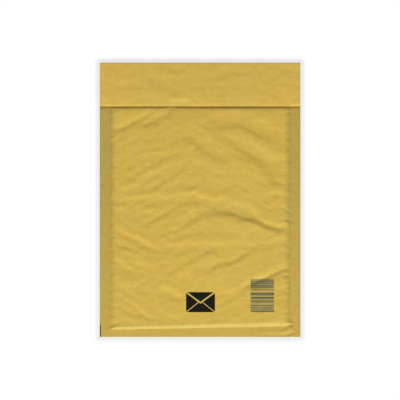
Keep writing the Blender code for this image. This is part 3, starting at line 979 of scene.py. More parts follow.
# %% Small functions for skins
PLAIN, FRONT, BACK = 0, 1, 2
MERGE = 0.000004


def lifted(height, by):
    """The same face, moved up or down by the same amount everywhere."""
    return lambda x, y: height(x, y) + by


def grid(columns, rows, height):
    """A surface as lines of points, one line for each row."""
    x, y = np.meshgrid(columns, rows)
    return np.stack([x, y, height(x, y)], axis=-1)


def arc(columns, centre_y, centre_z, radius, facets, squareness=1.0):
    """A half turn as lines of points, from under its centre round to the top of it, bulging the way of its
    radius. A squareness under 1 flattens it above and below."""
    lines = []
    for turn in np.linspace(-np.pi / 2, np.pi / 2, facets + 1)[1:-1]:
        y = centre_y + radius * np.cos(turn) ** squareness
        z = centre_z + abs(radius) * np.sign(np.sin(turn)) * np.abs(np.sin(turn)) ** squareness
        lines.append(np.stack([columns, np.full(columns.shape, y), np.full(columns.shape, z)], axis=-1))
    return np.array(lines)


def add_skin(mesh, lines, finish=PLAIN):
    """Four-cornered faces between neighbouring lines. Each starts at a corner of its lower pair, and so
    splits along the valley of a crease."""
    corners = [[mesh.verts.new(point) for point in line] for line in lines]
    for near, far in zip(corners, corners[1:]):
        for a, b, c, d in zip(near, near[1:], far[1:], far):
            lower_first = a.co.z + c.co.z <= b.co.z + d.co.z
            face = mesh.faces.new((a, b, c, d) if lower_first else (b, c, d, a))
            face.material_index = finish


def open_edges(mesh):
    """The edges that belong to one face only."""
    return [edge for edge in mesh.edges if edge.is_boundary]


def merged(mesh):
    """Joins points that lie in the same place."""
    bmesh.ops.remove_doubles(mesh, verts=mesh.verts, dist=MERGE)


def closed(mesh):
    """Joins the skins, fills the slits that are left, and points the faces outwards."""
    merged(mesh)
    bmesh.ops.holes_fill(mesh, edges=open_edges(mesh))
    bmesh.ops.recalc_face_normals(mesh, faces=mesh.faces)


def smooth_piece(name, mesh):
    """Makes an object of a mesh, with smooth shading."""
    triangles = sum(len(face.verts) - 2 for face in mesh.faces)
    print(name, triangles, "triangles,", len(open_edges(mesh)), "open edges")
    data = bpy.data.meshes.new(name)
    mesh.to_mesh(data)
    mesh.free()
    data.shade_smooth()
    return put(name, data)


# %% Lay the sheet
FOLD_FACETS = 10
FOLD_SQUARENESS = 0.6
EDGE_FACETS = 4
SHARP_ANGLE = math.radians(50)


def zip_seams(mesh):
    """Gives the long inner edges along the side seams the points of the short ones beside them. Then the
    merge closes the pocket."""
    for edge in open_edges(mesh):
        low, high = sorted(edge.verts, key=lambda vertex: vertex.co.y)
        x = low.co.x
        if max(abs(abs(x) - SEAM_LINE), abs(high.co.x - x)) > MERGE:
            continue
        rows = front_rows[(front_rows > low.co.y + MERGE) & (front_rows < high.co.y - MERGE)]
        for y, z in zip(rows, underside(np.full(rows.shape, x), rows) + PAPER):
            low = bmesh.utils.edge_split(edge, low, 0.5)[1]
            low.co = (x, y, z)


def paper_sheet():
    """The folded and sealed sheet."""
    fold_radius = FOLD_DIAMETER / 2
    outer_fold, inner_fold = (
        arc(sheet_columns, FLAP_FOLD, BORDER_LIFT + fold_radius, radius, FOLD_FACETS, FOLD_SQUARENESS)
        for radius in (fold_radius, fold_radius - PAPER)
    )
    bottom_fold = arc(sheet_columns, BOTTOM + PAPER, BORDER_LIFT + PAPER, -PAPER, EDGE_FACETS)

    flap_outside = grid(sheet_columns, flap_rows, flap)
    flap_inside = grid(sheet_columns, flap_rows, lifted(flap, -PAPER))
    back_outside = grid(sheet_columns, joined(strip_rows, back_rows, fold_rows), underside)
    back_inside = grid(sheet_columns, fold_rows, lifted(underside, PAPER))
    front_outside = grid(sheet_columns, joined(strip_rows, front_rows), panel)

    mesh = bmesh.new()
    add_skin(mesh, np.concatenate([flap_outside, outer_fold[::-1], back_outside[::-1][:1]]))
    add_skin(mesh, back_outside, BACK)
    add_skin(mesh, np.concatenate([back_outside[:1], bottom_fold, front_outside[:1]]), BACK)
    add_skin(mesh, front_outside, FRONT)
    add_skin(mesh, np.concatenate([flap_inside, inner_fold[::-1], back_inside[::-1]]))
    add_skin(mesh, grid(pocket_columns, back_rows, lifted(underside, PAPER)))
    add_skin(mesh, grid(pocket_columns, front_rows, lifted(panel, -PAPER)))
    add_skin(mesh, [flap_outside[0], flap_inside[0]])
    add_skin(mesh, [front_outside[-1], grid(sheet_columns, [MOUTH], lifted(panel, -PAPER))[0]])
    merged(mesh)
    zip_seams(mesh)
    closed(mesh)
    piece = smooth_piece("kraft_sleeve_paper", mesh)
    piece.data.set_sharp_from_angle(angle=SHARP_ANGLE)
    return piece


sleeve = paper_sheet()

# %% [markdown]
# ## Paper grain
#
# Kraft paper is a felt of fibres. Close up they show as fine streaks that mostly run along the web,
# from a wider view as faint clouds and wide stains, and here and there lies a darker shive. One node
# group makes all four, as plain values. Every paper here uses it, the release paper with sizes of its
# own.

# %% The grain group
GRAIN_SIZES = {"Fibre Width": 0.0004, "Fibre Length": 0.0017, "Cloud Size": 0.006, "Stain Size": 0.030}
SHIVE_SCALE = 0.35
SHIVE_LIMITS = (0.82, 0.88)


def group_tree(name, outputs, sizes):
    """A shader node group that reads a place and some named sizes, and gives plain values."""
    tree = bpy.data.node_groups.new(name, "ShaderNodeTree")
    tree.interface.new_socket("Vector", in_out="INPUT", socket_type="NodeSocketVector")
    for title, size in sizes.items():
        socket = tree.interface.new_socket(title, in_out="INPUT", socket_type="NodeSocketFloat")
        socket.default_value = size
    for title in outputs:
        tree.interface.new_socket(title, in_out="OUTPUT", socket_type="NodeSocketFloat")
    return tree, tree.nodes.new("NodeGroupInput").outputs, tree.nodes.new("NodeGroupOutput")


def packed(tree, x, y, z):
    """Three values as one vector."""
    return made(tree, "ShaderNodeCombineXYZ", enumerate((x, y, z))).outputs[0]


def noise(tree, place, scale=1.0, detail=2.0, roughness=0.5):
    """A noise texture read at a place. Returns its value, about 0.5 on average."""
    inputs = [("Vector", place), ("Scale", scale), ("Detail", detail), ("Roughness", roughness)]
    return made(tree, "ShaderNodeTexNoise", inputs).outputs["Fac"]


def grain_group():
    """Fibres, clouds, stains and shives of a sheet of paper."""
    tree, given, result = group_tree("paper grain", ("Fibre", "Cloud", "Stain", "Shive"), GRAIN_SIZES)
    width, length, cloud, stain = (given[title] for title in GRAIN_SIZES)

    def sized(x, y, z):
        """The place, counted in patches of a size."""
        return vector_calc(tree, "DIVIDE", given["Vector"], packed(tree, x, y, z))

    lengthwise = sized(width, length, width)
    crosswise = sized(length, width, width)
    shives = noise(tree, lengthwise, scale=SHIVE_SCALE, detail=0.0)
    values = [
        ("Fibre", calc(tree, "MAXIMUM", noise(tree, lengthwise), noise(tree, crosswise))),
        ("Cloud", noise(tree, sized(cloud, cloud, cloud), detail=3.0)),
        ("Stain", noise(tree, sized(stain, stain, stain), detail=4.0, roughness=0.6)),
        ("Shive", ramp(tree, shives, *SHIVE_LIMITS)),
    ]
    fill_in(tree, result, values)
    return tree


grain = grain_group()
print("grain group has", len(grain.nodes), "nodes")

# %% [markdown]
# ## Seams, with painted shade and a painted highlight
#
# The sides are sealed and pressed flat, so they lie lower than the padding. Their colour is made a
# cooler, darker brown as painted shade, most of all near the flap and a little more on the left. The
# shade fades in over the side slopes and covers part of the bottom strip too. A thin line of painted
# shade lies where the padding starts, and the cut edge is darker too. Over the bottom strip, the edge
# of the padding slopes towards the key light, and a painted highlight makes it pale. The flap isn't
# sealed, so its colour is even right out to the edge. This group finds the seam from the distance to
# the middle, with a little waver along the line. The front and the back both use it, and only the
# front uses the painted highlight.

# %% The seam group
SEAM_WAVER = 0.0022
WAVER_SCALE = 240.0
# Painted shade over the sealed sides and the bottom strip, which lie lower than the padding
SEAM_SHADE_FADE = 0.0075
SEAM_SHADE_END = 0.001
SEAM_SHADE_AT_BOTTOM = 0.55
SEAM_SHADE_AT_FLAP = 1.0
SEAM_SHADE_LEAN = 0.08
STRIP_SHADE_SHARE = 0.38
# The thin line of painted shade at the foot of the padding
LINE_BEFORE = 0.0012
LINE_AFTER = 0.0014
CUT_WIDTH = 0.0014
CUT_EDGE = 0.0004
# Where the painted highlight lies, measured up from the foot of the bottom slope
PAINTED_HIGHLIGHT_BAND = (-0.0004, 0.0006, 0.003, 0.005)


def parts(tree, vector):
    """The x and the y of a vector."""
    split = made(tree, "ShaderNodeSeparateXYZ", [("Vector", vector)])
    return split.outputs["X"], split.outputs["Y"]


def times(tree, first, *others):
    """The product of numbers or sockets."""
    for other in others:
        first = calc(tree, "MULTIPLY", first, other)
    return first


def fall(tree, value, start, stop):
    """A smooth fall from 1 to 0 while the value goes from start to stop."""
    return ramp(tree, value, start, stop, 1.0, 0.0)


def band(tree, value, start, full, fading, stop):
    """0, then 1 from full to fading, then 0 again from stop on."""
    return times(tree, ramp(tree, value, start, full), fall(tree, value, fading, stop))


def seam_group():
    """Masks for painted seam shade, a painted line at the padding's foot, the cut edge and a painted
    highlight.
    """
    tree, given, result = group_tree("seam masks", ("SeamShade", "Line", "Cut", "PaintedHighlight"), {})
    x, y = parts(tree, given["Vector"])
    aside = calc(tree, "ABSOLUTE", x)
    waver = scaled(tree, noise(tree, given["Vector"], scale=WAVER_SCALE), SEAM_WAVER, -SEAM_WAVER / 2)
    place = calc(tree, "ADD", aside, waver)
    # painted shade over the sealed side, fading in over its slope
    seam_shade = ramp(tree, place, SEAM_LINE - SEAM_SHADE_FADE, SEAM_LINE + SEAM_SHADE_END)
    stronger = ramp(tree, y, BOTTOM, FLAP_EDGE, SEAM_SHADE_AT_BOTTOM, SEAM_SHADE_AT_FLAP)
    seam_shade = times(tree, seam_shade, stronger, scaled(tree, x, -SEAM_SHADE_LEAN / SIDE, 1.0))
    strip_top = BOTTOM + STRIP_HEIGHT
    # painted shade on the bottom strip as well
    strip = ramp(tree, y, strip_top, strip_top + 2 * BOTTOM_SLOPE, STRIP_SHADE_SHARE, 0.0)
    # a thin line of painted shade in the crease at the foot of the side slope
    line = band(tree, place, SEAM_LINE - LINE_BEFORE, SEAM_LINE, SEAM_LINE, SEAM_LINE + LINE_AFTER)
    above_strip = ramp(tree, y, strip_top + BOTTOM_SLOPE, strip_top + 3 * BOTTOM_SLOPE)
    foot = scaled(tree, x, STRIP_TILT / SEAM_LINE, strip_top)
    # a painted highlight on the edge of the padding, where it slopes towards the key light
    painted_highlight = band(tree, calc(tree, "SUBTRACT", y, foot), *PAINTED_HIGHLIGHT_BAND)
    values = [
        ("SeamShade", calc(tree, "MAXIMUM", seam_shade, strip)),
        ("Line", times(tree, line, above_strip)),
        ("Cut", ramp(tree, aside, SIDE - CUT_WIDTH, SIDE - CUT_EDGE)),
        ("PaintedHighlight", times(tree, painted_highlight, fall(tree, aside, SEAM_LINE, SEAM_LINE + SEAM_SHADE_END))),
    ]
    fill_in(tree, result, values)
    return tree


seam = seam_group()
print("seam group has", len(seam.nodes), "nodes")

# %% [markdown]
# ## Print
#
# The front carries a little print: a block of bars near the right side, a sign in the middle and a
# short mark on the left edge that the printing press steers by. Each one is a field that is true inside
# a rectangle or near a line, worked out from the place on the paper. The bars come from a seeded noise
# read once for each row, so they are just bars. The sign is a plain envelope.

# %% The bars
INK_EDGE = 0.00012
BAR_PITCH = 0.0011
BAR_GAPS = (-0.0910, -0.1037)
BAR_GAP = 0.0005
BAR_LIMITS = (0.36, 0.62, 0.22, 1.0)


def between(tree, value, low, high):
    """1 where the value lies between two limits, with an edge as soft as ink on paper."""
    return band(tree, value, low - INK_EDGE, low + INK_EDGE, high - INK_EDGE, high + INK_EDGE)


def bar_rows(tree, y):
    """How much ink lies on each row: soft lines from a noise, with two bare lines between them."""
    inputs = [("W", y), ("Scale", 1 / BAR_PITCH), ("Detail", 1.0)]
    lines = made(tree, "ShaderNodeTexNoise", inputs, noise_dimensions="1D").outputs["Fac"]
    inked = ramp(tree, lines, *BAR_LIMITS)
    for gap in BAR_GAPS:
        bare = between(tree, y, gap - BAR_GAP, gap + BAR_GAP)
        inked = times(tree, inked, calc(tree, "SUBTRACT", 1.0, bare))
    return inked


print("bars about", in_mm(BAR_PITCH, 1), "mm apart")

# %% The sign
SIGN_X, SIGN_Y = 0.0004, -0.1019
SIGN_HALF_WIDTH, SIGN_HALF_HEIGHT = 0.0144, 0.0100
SIGN_CORNER = 0.0016
SIGN_LINE = 0.0009
SIGN_LOW_LINE = 0.0005
SIGN_LOW_SLOPE = 0.80
SIGN_DIP = 0.0006


def plain_sign(tree, x, y):
    """A solid envelope sign: a rounded rectangle, with bare lines for its flap and its two lower folds."""
    aside = calc(tree, "ABSOLUTE", calc(tree, "SUBTRACT", x, SIGN_X))
    up = calc(tree, "SUBTRACT", y, SIGN_Y)
    squares = []
    for distance, half_size in ((aside, SIGN_HALF_WIDTH), (calc(tree, "ABSOLUTE", up), SIGN_HALF_HEIGHT)):
        past = calc(tree, "MAXIMUM", calc(tree, "SUBTRACT", distance, half_size - SIGN_CORNER), 0.0)
        squares.append(calc(tree, "POWER", past, 2.0))
    corner = calc(tree, "SQRT", calc(tree, "ADD", *squares))
    body = fall(tree, corner, SIGN_CORNER - INK_EDGE, SIGN_CORNER + INK_EDGE)
    slope = (SIGN_HALF_HEIGHT + SIGN_DIP) / SIGN_HALF_WIDTH
    flap_line = calc(tree, "SUBTRACT", up, scaled(tree, aside, slope, -SIGN_DIP))
    folded = between(tree, flap_line, -SIGN_LINE, SIGN_LINE)
    from_corner = SIGN_HALF_HEIGHT - SIGN_LOW_SLOPE * SIGN_HALF_WIDTH
    low_line = calc(tree, "ADD", up, scaled(tree, aside, SIGN_LOW_SLOPE, from_corner))
    low_fold = between(tree, low_line, -SIGN_LOW_LINE, SIGN_LOW_LINE)
    below_flap = fall(tree, flap_line, -2 * SIGN_LINE, -SIGN_LINE)
    bare = calc(tree, "MAXIMUM", folded, times(tree, low_fold, below_flap))
    return times(tree, body, calc(tree, "SUBTRACT", 1.0, bare))


print("sign", in_mm(2 * SIGN_HALF_WIDTH, 1), "by", in_mm(2 * SIGN_HALF_HEIGHT, 1), "mm")

# %% The print group
BARS_LEFT, BARS_RIGHT = 0.0503, 0.0736
BARS_BOTTOM, BARS_TOP = -0.1118, -0.0789
PRESS_MARK_RIGHT = -0.0990
PRESS_MARK_TOP = -0.1243


def print_group():
    """Masks for the grey bars and for the black print."""
    tree, given, result = group_tree("print", ("Bars", "Black"), {})
    x, y = parts(tree, given["Vector"])
    across = between(tree, x, BARS_LEFT, BARS_RIGHT)
    along = between(tree, y, BARS_BOTTOM, BARS_TOP)
    at_edge = between(tree, x, -WIDTH, PRESS_MARK_RIGHT)
    mark = times(tree, at_edge, between(tree, y, -LENGTH, PRESS_MARK_TOP))
    values = [
        ("Bars", times(tree, across, along, bar_rows(tree, y))),
        ("Black", calc(tree, "MAXIMUM", mark, plain_sign(tree, x, y))),
    ]
    fill_in(tree, result, values)
    return tree


ink = print_group()
print("print group has", len(ink.nodes), "nodes")

# %% [markdown]
# ## Kraft paper
#
# The paper is a warm yellow brown, matte, with a faint gloss from the rollers that pressed it. The
# grain shifts its tone and its roughness a little, shives add dark flecks, and a Bump node lets the
# fibres catch the light. A small function makes the three kinds: plain and a touch lighter for the flap
# and the inside, with painted shade at the seams for the back, and with painted shade at the seams, a
# painted highlight at the bottom and print for the front.

# %% The tone of the paper
KRAFT = (0.622, 0.410, 0.072)
KRAFT_COOL = (0.600, 0.421, 0.082)
FLAP_TINT = (1.035, 1.02, 1.08)
STAIN_LIMITS = (0.35, 0.65)
FIBRE_TONE = 0.55
FIBRE_MEAN = 0.56
CLOUD_TONE = 0.14


def mixed(tree, mask, below, above, blend="MIX"):
    """Two colours mixed by a mask."""
    inputs = [(0, mask)]
    for place, colour in ((6, below), (7, above)):
        inputs.append((place, (*colour, 1.0) if isinstance(colour, tuple) else colour))
    return made(tree, "ShaderNodeMix", inputs, data_type="RGBA", blend_type=blend).outputs[2]


def tinted(colour, tint):
    """A colour times another one, or times a number."""
    return tuple(np.multiply(colour, tint).tolist())


def toned(tree, warm, cool, grains):
    """The colour: warmer and cooler with the stains, lighter and darker with the fibres and clouds."""
    fibre = scaled(tree, grains["Fibre"], FIBRE_TONE, 1 - FIBRE_MEAN * FIBRE_TONE)
    tone = scaled(tree, grains["Cloud"], CLOUD_TONE, -CLOUD_TONE / 2)
    shade = mixed(tree, ramp(tree, grains["Stain"], *STAIN_LIMITS), warm, cool)
    inputs = [(0, shade), ("Scale", calc(tree, "ADD", fibre, tone))]
    return made(tree, "ShaderNodeVectorMath", inputs, operation="SCALE").outputs[0]


print("kraft", KRAFT, "and on the flap", [round(part, 3) for part in tinted(KRAFT, FLAP_TINT)])

# %% Make the kraft finishes
SHIVE_TINT = (0.86, 0.84, 0.80)
# Painted shade over the seams, where they lie lower than the padding
SEAM_SHADE_TINT = (0.735, 0.785, 0.945)
# Painted shade in the crease at the foot of the padding
FOOT_SHADE_TINT = (0.955, 0.962, 0.975)
CUT_TINT = (0.85, 0.87, 0.84)
# A painted highlight, paler and cooler, on the bottom slope that faces the key light
PAINTED_HIGHLIGHT_TINT = (0.97, 1.04, 1.24)
BARS_INK = (0.055, 0.092, 0.070)
BLACK_INK = (0.006, 0.006, 0.005)
LEAST_ROUGHNESS = 0.46
FIBRE_ROUGHNESS = 0.16
KRAFT_GLOSS = 0.06
FIBRE_HEIGHT = 0.00003
CLOUD_HEIGHT = 0.00032


def placed(tree, group, place, sizes=()):
    """The outputs of a node group in a material, reading a place."""
    return made(tree, "ShaderNodeGroup", [("Vector", place), *sizes], node_tree=group).outputs


def bump(tree, height, distance, *below):
    """A Bump node of a real depth, over another one if given."""
    inputs = [("Height", height), ("Distance", distance), *(("Normal", normal) for normal in below)]
    return made(tree, "ShaderNodeBump", inputs).outputs["Normal"]


def kraft(name, seam_shade=False, printed=False):
    """One kind of kraft paper."""
    material, tree, shader = new_material(name)
    place = object_place(tree)
    grains = placed(tree, grain, place)
    lighter = 1 if seam_shade else FLAP_TINT
    colour = toned(tree, tinted(KRAFT, lighter), tinted(KRAFT_COOL, lighter), grains)
    colour = mixed(tree, grains["Shive"], colour, SHIVE_TINT, "MULTIPLY")
    if seam_shade:
        seam_masks = placed(tree, seam, place)
        # painted shade over the seams and at the foot of the padding, and the darker cut edge
        for title, tint in (("SeamShade", SEAM_SHADE_TINT), ("Line", FOOT_SHADE_TINT), ("Cut", CUT_TINT)):
            colour = mixed(tree, seam_masks[title], colour, tint, "MULTIPLY")
    if printed:
        # a painted highlight on the edge of the padding over the bottom strip
        colour = mixed(tree, seam_masks["PaintedHighlight"], colour, PAINTED_HIGHLIGHT_TINT, "MULTIPLY")
        inks = placed(tree, ink, place)
        colour = mixed(tree, inks["Bars"], colour, BARS_INK)
        colour = mixed(tree, inks["Black"], colour, BLACK_INK)
    looks = [
        ("Base Color", colour),
        ("Roughness", scaled(tree, grains["Fibre"], FIBRE_ROUGHNESS, LEAST_ROUGHNESS)),
        ("Specular IOR Level", KRAFT_GLOSS),
        ("Normal", bump(tree, grains["Fibre"], FIBRE_HEIGHT, bump(tree, grains["Cloud"], CLOUD_HEIGHT))),
    ]
    fill_in(tree, shader, looks)
    return material


sleeve.data.materials.append(kraft("kraft plain"))
sleeve.data.materials.append(kraft("kraft front", seam_shade=True, printed=True))
sleeve.data.materials.append(kraft("kraft back", seam_shade=True))
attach(sleeve, "root")
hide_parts("kraft_sleeve")
print("kraft finishes on", sleeve.name, len(sleeve.data.materials))

# %% [markdown]
# ## Bubble film
#
# Two plies of thin film line the pocket, folded once at the bottom. Each carries a honeycomb of
# flat-topped air bubbles that face the paper and hold the panels apart. The plies are one closed pouch,
# slit along the pocket and open at the mouth. One bubble is a few dozen faces, and there are hundreds,
# so Geometry Nodes set one dome on every point of the honeycomb. Each point knows how much room the
# creased paper leaves there, so no bubble comes through.

# %% Sizes of the film
FILM = 0.00008
EMPTY_POCKET = 0.0003
FILM_START = 0.3
FILM_WELD = 0.002
FILM_MOUTH_INSET = 0.002
FILM_COLUMN_STEP = 0.0045
FILM_ROW_STEP = 0.0030
BUBBLE_PITCH = 0.0105
BUBBLE_RADIUS = 0.0044
BUBBLE_CLEARANCE = 0.00008
LEAST_BUBBLE = 0.0003
BUBBLE_SIDES = 12
BUBBLE_RINGS = 3
BUBBLE_TAPER = 0.34
TAPER_SHAPE = 3.0
PROBES = 8

film_side = SEAM_LINE - FILM_START * SIDE_SLOPE
film_fold = strip_line(SEAM_LINE) + 2 * FILM_START * BOTTOM_SLOPE
film_end = MOUTH - FILM_MOUTH_INSET


def film_face(ply):
    """The outer face of the film. The ply is -1 under the pocket and 1 over it."""
    return lambda x, y: (underside(x, y) + panel(x, y)) / 2 + ply * (EMPTY_POCKET / 2 + FILM)


def honeycomb():
    """The places of the bubbles, as columns of x and y."""
    left, right = -film_side + FILM_WELD + BUBBLE_RADIUS, film_side - FILM_WELD - BUBBLE_RADIUS
    low, high = film_fold + FILM_WELD + BUBBLE_RADIUS, film_end - BUBBLE_RADIUS
    places = []
    for row, y in enumerate(np.arange(low, high, BUBBLE_PITCH * math.sqrt(3) / 2)):
        shift = BUBBLE_PITCH / 2 * (row % 2)
        places.extend((x, y) for x in np.arange(left + shift, right, BUBBLE_PITCH))
    return np.array(places).T


def room_for_bubbles(ply, x, y):
    """The height between the film and the paper, at the tightest place under each bubble."""
    paper = lifted(panel, -PAPER) if ply > 0 else lifted(underside, PAPER)
    around = np.linspace(0, 2 * np.pi, PROBES, endpoint=False)
    reach = BUBBLE_RADIUS * (1 - BUBBLE_TAPER)
    probes = [(0, 0), *zip(reach * np.cos(around), reach * np.sin(around))]
    film_height = film_face(ply)(x, y)
    gaps = [ply * (paper(x + dx, y + dy) - film_height) for dx, dy in probes]
    return np.min(gaps, axis=0) - BUBBLE_CLEARANCE


print("places for", len(honeycomb()[0]), "bubbles on each ply")


# %% The pouch, with a seat for every bubble
def film_pouch():
    """The two plies as one closed skin, and a loose point for each bubble, with its room and its turn."""
    weld = film_side - FILM_WELD
    columns = joined(both_sides(np.array([weld, film_side])), spread(-weld, weld, FILM_COLUMN_STEP))
    rows = joined([film_fold], spread(film_fold + FILM_WELD, film_end, FILM_ROW_STEP))
    under, over = grid(columns, rows, film_face(-1)), grid(columns, rows, film_face(1))
    slit = np.zeros(under.shape)
    slit[2:, 2:-2, 2] = EMPTY_POCKET / 2
    slit_under, slit_over = (under + over) / 2 - slit, (under + over) / 2 + slit

    mesh = bmesh.new()
    for skin in (under, over, slit_under[1:, 1:-1], slit_over[1:, 1:-1]):
        add_skin(mesh, skin)
    for near, far in ((under[-1], slit_under[-1]), (over[-1], slit_over[-1]), (under[0], over[0])):
        add_skin(mesh, [near, far])
    for edge in (0, -1):
        add_skin(mesh, [under[:, edge], over[:, edge]])
    closed(mesh)

    layers = mesh.verts.layers
    seat, room, turn = layers.bool.new("seat"), layers.float.new("room"), layers.float_vector.new("turn")
    x, y = honeycomb()
    for ply, angle in ((-1, math.pi), (1, 0.0)):
        heights = room_for_bubbles(ply, x, y)
        for point, height in zip(np.stack([x, y, film_face(ply)(x, y)], axis=-1), heights):
            if height > LEAST_BUBBLE:
                vertex = mesh.verts.new(point)
                vertex[seat], vertex[room], vertex[turn] = True, height, (angle, 0, 0)
        print("ply", ply, "has bubbles from", in_mm(heights.min()), "to", in_mm(heights.max()), "mm high")
    return smooth_piece("bubble_film", mesh)


film = film_pouch()


# %% The bubbles, set by Geometry Nodes
def attribute(tree, name, kind):
    """An attribute of the points, by name."""
    node = made(tree, "GeometryNodeInputNamedAttribute", [("Name", name)], data_type=kind)
    return node.outputs["Attribute"]


def dome(tree, sides, rings, taper):
    """One bubble, 1 m high and 1 m in radius: a cylinder whose wall rounds in to a flat top."""
    sizes = [("Vertices", sides), ("Side Segments", rings), ("Radius", 1.0), ("Depth", 1.0)]
    tube = made(tree, "GeometryNodeMeshCylinder", sizes, fill_type="TRIANGLE_FAN").outputs["Mesh"]
    position = tree.nodes.new("GeometryNodeInputPosition").outputs[0]
    place = made(tree, "ShaderNodeSeparateXYZ", [("Vector", position)]).outputs
    height = calc(tree, "ADD", place["Z"], 0.5)
    width = calc(tree, "SUBTRACT", 1.0, times(tree, calc(tree, "POWER", height, TAPER_SHAPE), taper))
    tapered = packed(tree, times(tree, place["X"], width), times(tree, place["Y"], width), height)
    moved = made(tree, "GeometryNodeSetPosition", [("Geometry", tube), ("Position", tapered)]).outputs[0]
    return made(tree, "GeometryNodeSetShadeSmooth", [("Geometry", moved)]).outputs[0]


def bubble_tree():
    """Sets a dome on each seat and joins the domes with the pouch."""
    tree = bpy.data.node_groups.new("bubble film", "GeometryNodeTree")
    kinds = {"Radius": "Float", "Taper": "Float", "Sides": "Int", "Rings": "Int", "Finish": "Material"}
    for title, kind in {"Geometry": "Geometry", **kinds}.items():
        tree.interface.new_socket(title, in_out="INPUT", socket_type="NodeSocket" + kind)
    tree.interface.new_socket("Geometry", in_out="OUTPUT", socket_type="NodeSocketGeometry")
    given = tree.nodes.new("NodeGroupInput").outputs
    seats = [("Geometry", given["Geometry"]), ("Selection", attribute(tree, "seat", "BOOLEAN"))]
    split = made(tree, "GeometryNodeSeparateGeometry", seats, domain="POINT").outputs
    turn = made(tree, "FunctionNodeEulerToRotation", [("Euler", attribute(tree, "turn", "FLOAT_VECTOR"))])
    bubbles = [
        ("Points", split["Selection"]),
        ("Instance", dome(tree, given["Sides"], given["Rings"], given["Taper"])),
        ("Rotation", turn.outputs[0]),
        ("Scale", packed(tree, given["Radius"], given["Radius"], attribute(tree, "room", "FLOAT"))),
    ]
    set_out = made(tree, "GeometryNodeInstanceOnPoints", bubbles).outputs[0]
    together = tree.nodes.new("GeometryNodeJoinGeometry")
    for geometry in (set_out, split["Inverted"]):
        tree.links.new(geometry, together.inputs[0])
    real = made(tree, "GeometryNodeRealizeInstances", [("Geometry", together.outputs[0])]).outputs[0]
    dressed = [("Geometry", real), ("Material", given["Finish"])]
    painted = made(tree, "GeometryNodeSetMaterial", dressed).outputs[0]
    tree.links.new(painted, tree.nodes.new("NodeGroupOutput").inputs[0])
    return tree


def grown(piece, tree, values):
    """Runs a node tree on a piece and keeps the result as its plain mesh."""
    modifier = piece.modifiers.new("nodes", "NODES")
    modifier.node_group = tree
    for socket in tree.interface.items_tree:
        if socket.in_out == "INPUT" and socket.name in values:
            modifier[socket.identifier] = values[socket.name]
    evaluated = piece.evaluated_get(bpy.context.evaluated_depsgraph_get())
    data = bpy.data.meshes.new_from_object(evaluated)
    piece.modifiers.remove(modifier)
    piece.data = data
    for name in ("seat", "room", "turn"):
        if name in data.attributes:
            data.attributes.remove(data.attributes[name])
    print(piece.name, sum(len(face.vertices) - 2 for face in data.polygons), "triangles with its bubbles")


# %% [markdown]
# ## The look of the film
#
# Polythene film is clear with a milky haze. It is soft, so fine wrinkles run through it, and they break
# up its shine. The wrinkles are a noise stretched across the web, put into the normal, and a finer one
# roughens the surface.

# %% Make the film
FILM_COLOUR = (0.90, 0.92, 0.94)
FILM_CLEARNESS = 0.6
FILM_IOR = 1.5
FILM_ROUGHNESS = 0.12
HAZE_ROUGHNESS = 0.2
HAZE_SCALE = 900.0
WRINKLE_SIZE = (0.0040, 0.0016, 0.0016)
WRINKLE_HEIGHT = 0.00012


def clear_film():
    """Soft translucent film with fine wrinkles."""
    material, tree, shader = new_material("bubble film")
    place = object_place(tree)
    wrinkles = noise(tree, vector_calc(tree, "DIVIDE", place, WRINKLE_SIZE), detail=4.0, roughness=0.6)
    haze = noise(tree, place, scale=HAZE_SCALE)
    looks = [
        ("Base Color", (*FILM_COLOUR, 1)),
        ("Transmission Weight", FILM_CLEARNESS),
        ("IOR", FILM_IOR),
        ("Roughness", scaled(tree, haze, HAZE_ROUGHNESS, FILM_ROUGHNESS)),
        ("Normal", bump(tree, wrinkles, WRINKLE_HEIGHT)),
    ]
    fill_in(tree, shader, looks)
    return material


bubble = {"Radius": BUBBLE_RADIUS, "Taper": BUBBLE_TAPER, "Sides": BUBBLE_SIDES, "Rings": BUBBLE_RINGS}
grown(film, bubble_tree(), {**bubble, "Finish": clear_film()})
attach(film, "root")
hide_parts("bubble_lining")

# %% [markdown]
# ## The closure under the flap
#
# The flap carries a band of adhesive, covered by a strip of release paper until the envelope is used.
# Both follow the inner face of the flap with all its dents, so they are laid from the same function, on
# the same columns and rows. The adhesive was spread from a slot, which leaves fine lines along the
# band. The release paper is white, with a short fine grain under its smooth coating.

# %% Lay the two tapes
TAPE_GAP = 0.00004
ADHESIVE = 0.00012
ADHESIVE_START = FLAP_EDGE + 0.014
ADHESIVE_STOP = ADHESIVE_START + 0.018
ADHESIVE_SIDE = SIDE - 0.004
RELEASE = 0.0001
OVERHANG = 0.002


def tape(name, half_width, start, stop, depth, thickness):
    """A closed strip that follows the flap, its upper face at a depth under the outer face of the flap."""
    columns = joined(sheet_columns[np.abs(sheet_columns) < half_width], [-half_width, half_width])
    rows = joined(flap_rows[(flap_rows > start) & (flap_rows < stop)], [start, stop])
    upper, lower = (grid(columns, rows, lifted(flap, -down)) for down in (depth, depth + thickness))
    mesh = bmesh.new()
    for lines in (upper, lower, [upper[0], lower[0]], [upper[-1], lower[-1]]):
        add_skin(mesh, lines)
    for edge in (0, -1):
        add_skin(mesh, [upper[:, edge], lower[:, edge]])
    closed(mesh)
    piece = smooth_piece(name, mesh)
    piece.data.set_sharp_from_angle(angle=SHARP_ANGLE)
    return piece


depth = PAPER + TAPE_GAP
adhesive = tape("closure_adhesive", ADHESIVE_SIDE, ADHESIVE_START, ADHESIVE_STOP, depth, ADHESIVE)
depth += ADHESIVE + TAPE_GAP
start, stop = ADHESIVE_START - OVERHANG, ADHESIVE_STOP + OVERHANG
release = tape("closure_release_paper", ADHESIVE_SIDE + OVERHANG, start, stop, depth, RELEASE)

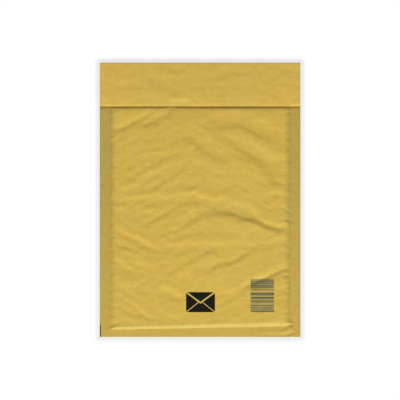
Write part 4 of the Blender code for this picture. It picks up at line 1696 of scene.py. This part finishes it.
# %% Make the adhesive and the release paper
ADHESIVE_COLOUR = (0.80, 0.76, 0.60)
ADHESIVE_SHADE = 0.9
SPREADING_SIZE = (0.030, 0.0005, 0.0005)
SPREADING_HEIGHT = 0.00002
POOL_SCALE = 220.0
POOL_ROUGHNESS = 0.3
ADHESIVE_ROUGHNESS = 0.15
RELEASE_COLOUR = (0.86, 0.86, 0.84)
RELEASE_SHADE = 0.93
RELEASE_GRAIN = (("Fibre Width", 0.0002), ("Fibre Length", 0.0010), ("Cloud Size", 0.004))
RELEASE_ROUGHNESS = 0.30
RELEASE_FIBRE_ROUGHNESS = 0.2
RELEASE_FIBRE_HEIGHT = 0.00001
COATING = 0.3
COATING_ROUGHNESS = 0.25


def tacky_adhesive():
    """Pale adhesive with the lines of its spreading."""
    material, tree, shader = new_material("tacky adhesive")
    place = object_place(tree)
    lines = noise(tree, vector_calc(tree, "DIVIDE", place, SPREADING_SIZE), detail=3.0)
    pools = noise(tree, place, scale=POOL_SCALE)
    darker = tinted(ADHESIVE_COLOUR, ADHESIVE_SHADE)
    looks = [
        ("Base Color", mixed(tree, pools, darker, ADHESIVE_COLOUR)),
        ("Roughness", scaled(tree, pools, POOL_ROUGHNESS, ADHESIVE_ROUGHNESS)),
        ("Normal", bump(tree, lines, SPREADING_HEIGHT)),
    ]
    fill_in(tree, shader, looks)
    return material


def release_paper():
    """White paper with a smooth coating."""
    material, tree, shader = new_material("release paper")
    grains = placed(tree, grain, object_place(tree), RELEASE_GRAIN)
    darker = tinted(RELEASE_COLOUR, RELEASE_SHADE)
    looks = [
        ("Base Color", mixed(tree, grains["Cloud"], darker, RELEASE_COLOUR)),
        ("Roughness", scaled(tree, grains["Fibre"], RELEASE_FIBRE_ROUGHNESS, RELEASE_ROUGHNESS)),
        ("Coat Weight", COATING),
        ("Coat Roughness", COATING_ROUGHNESS),
        ("Normal", bump(tree, grains["Fibre"], RELEASE_FIBRE_HEIGHT)),
    ]
    fill_in(tree, shader, looks)
    return material


adhesive.data.materials.append(tacky_adhesive())
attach(adhesive, "root")
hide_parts("adhesive_band")
release.data.materials.append(release_paper())
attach(release, "root")
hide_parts("release_strip")
print("tapes", adhesive.name, "and", release.name)
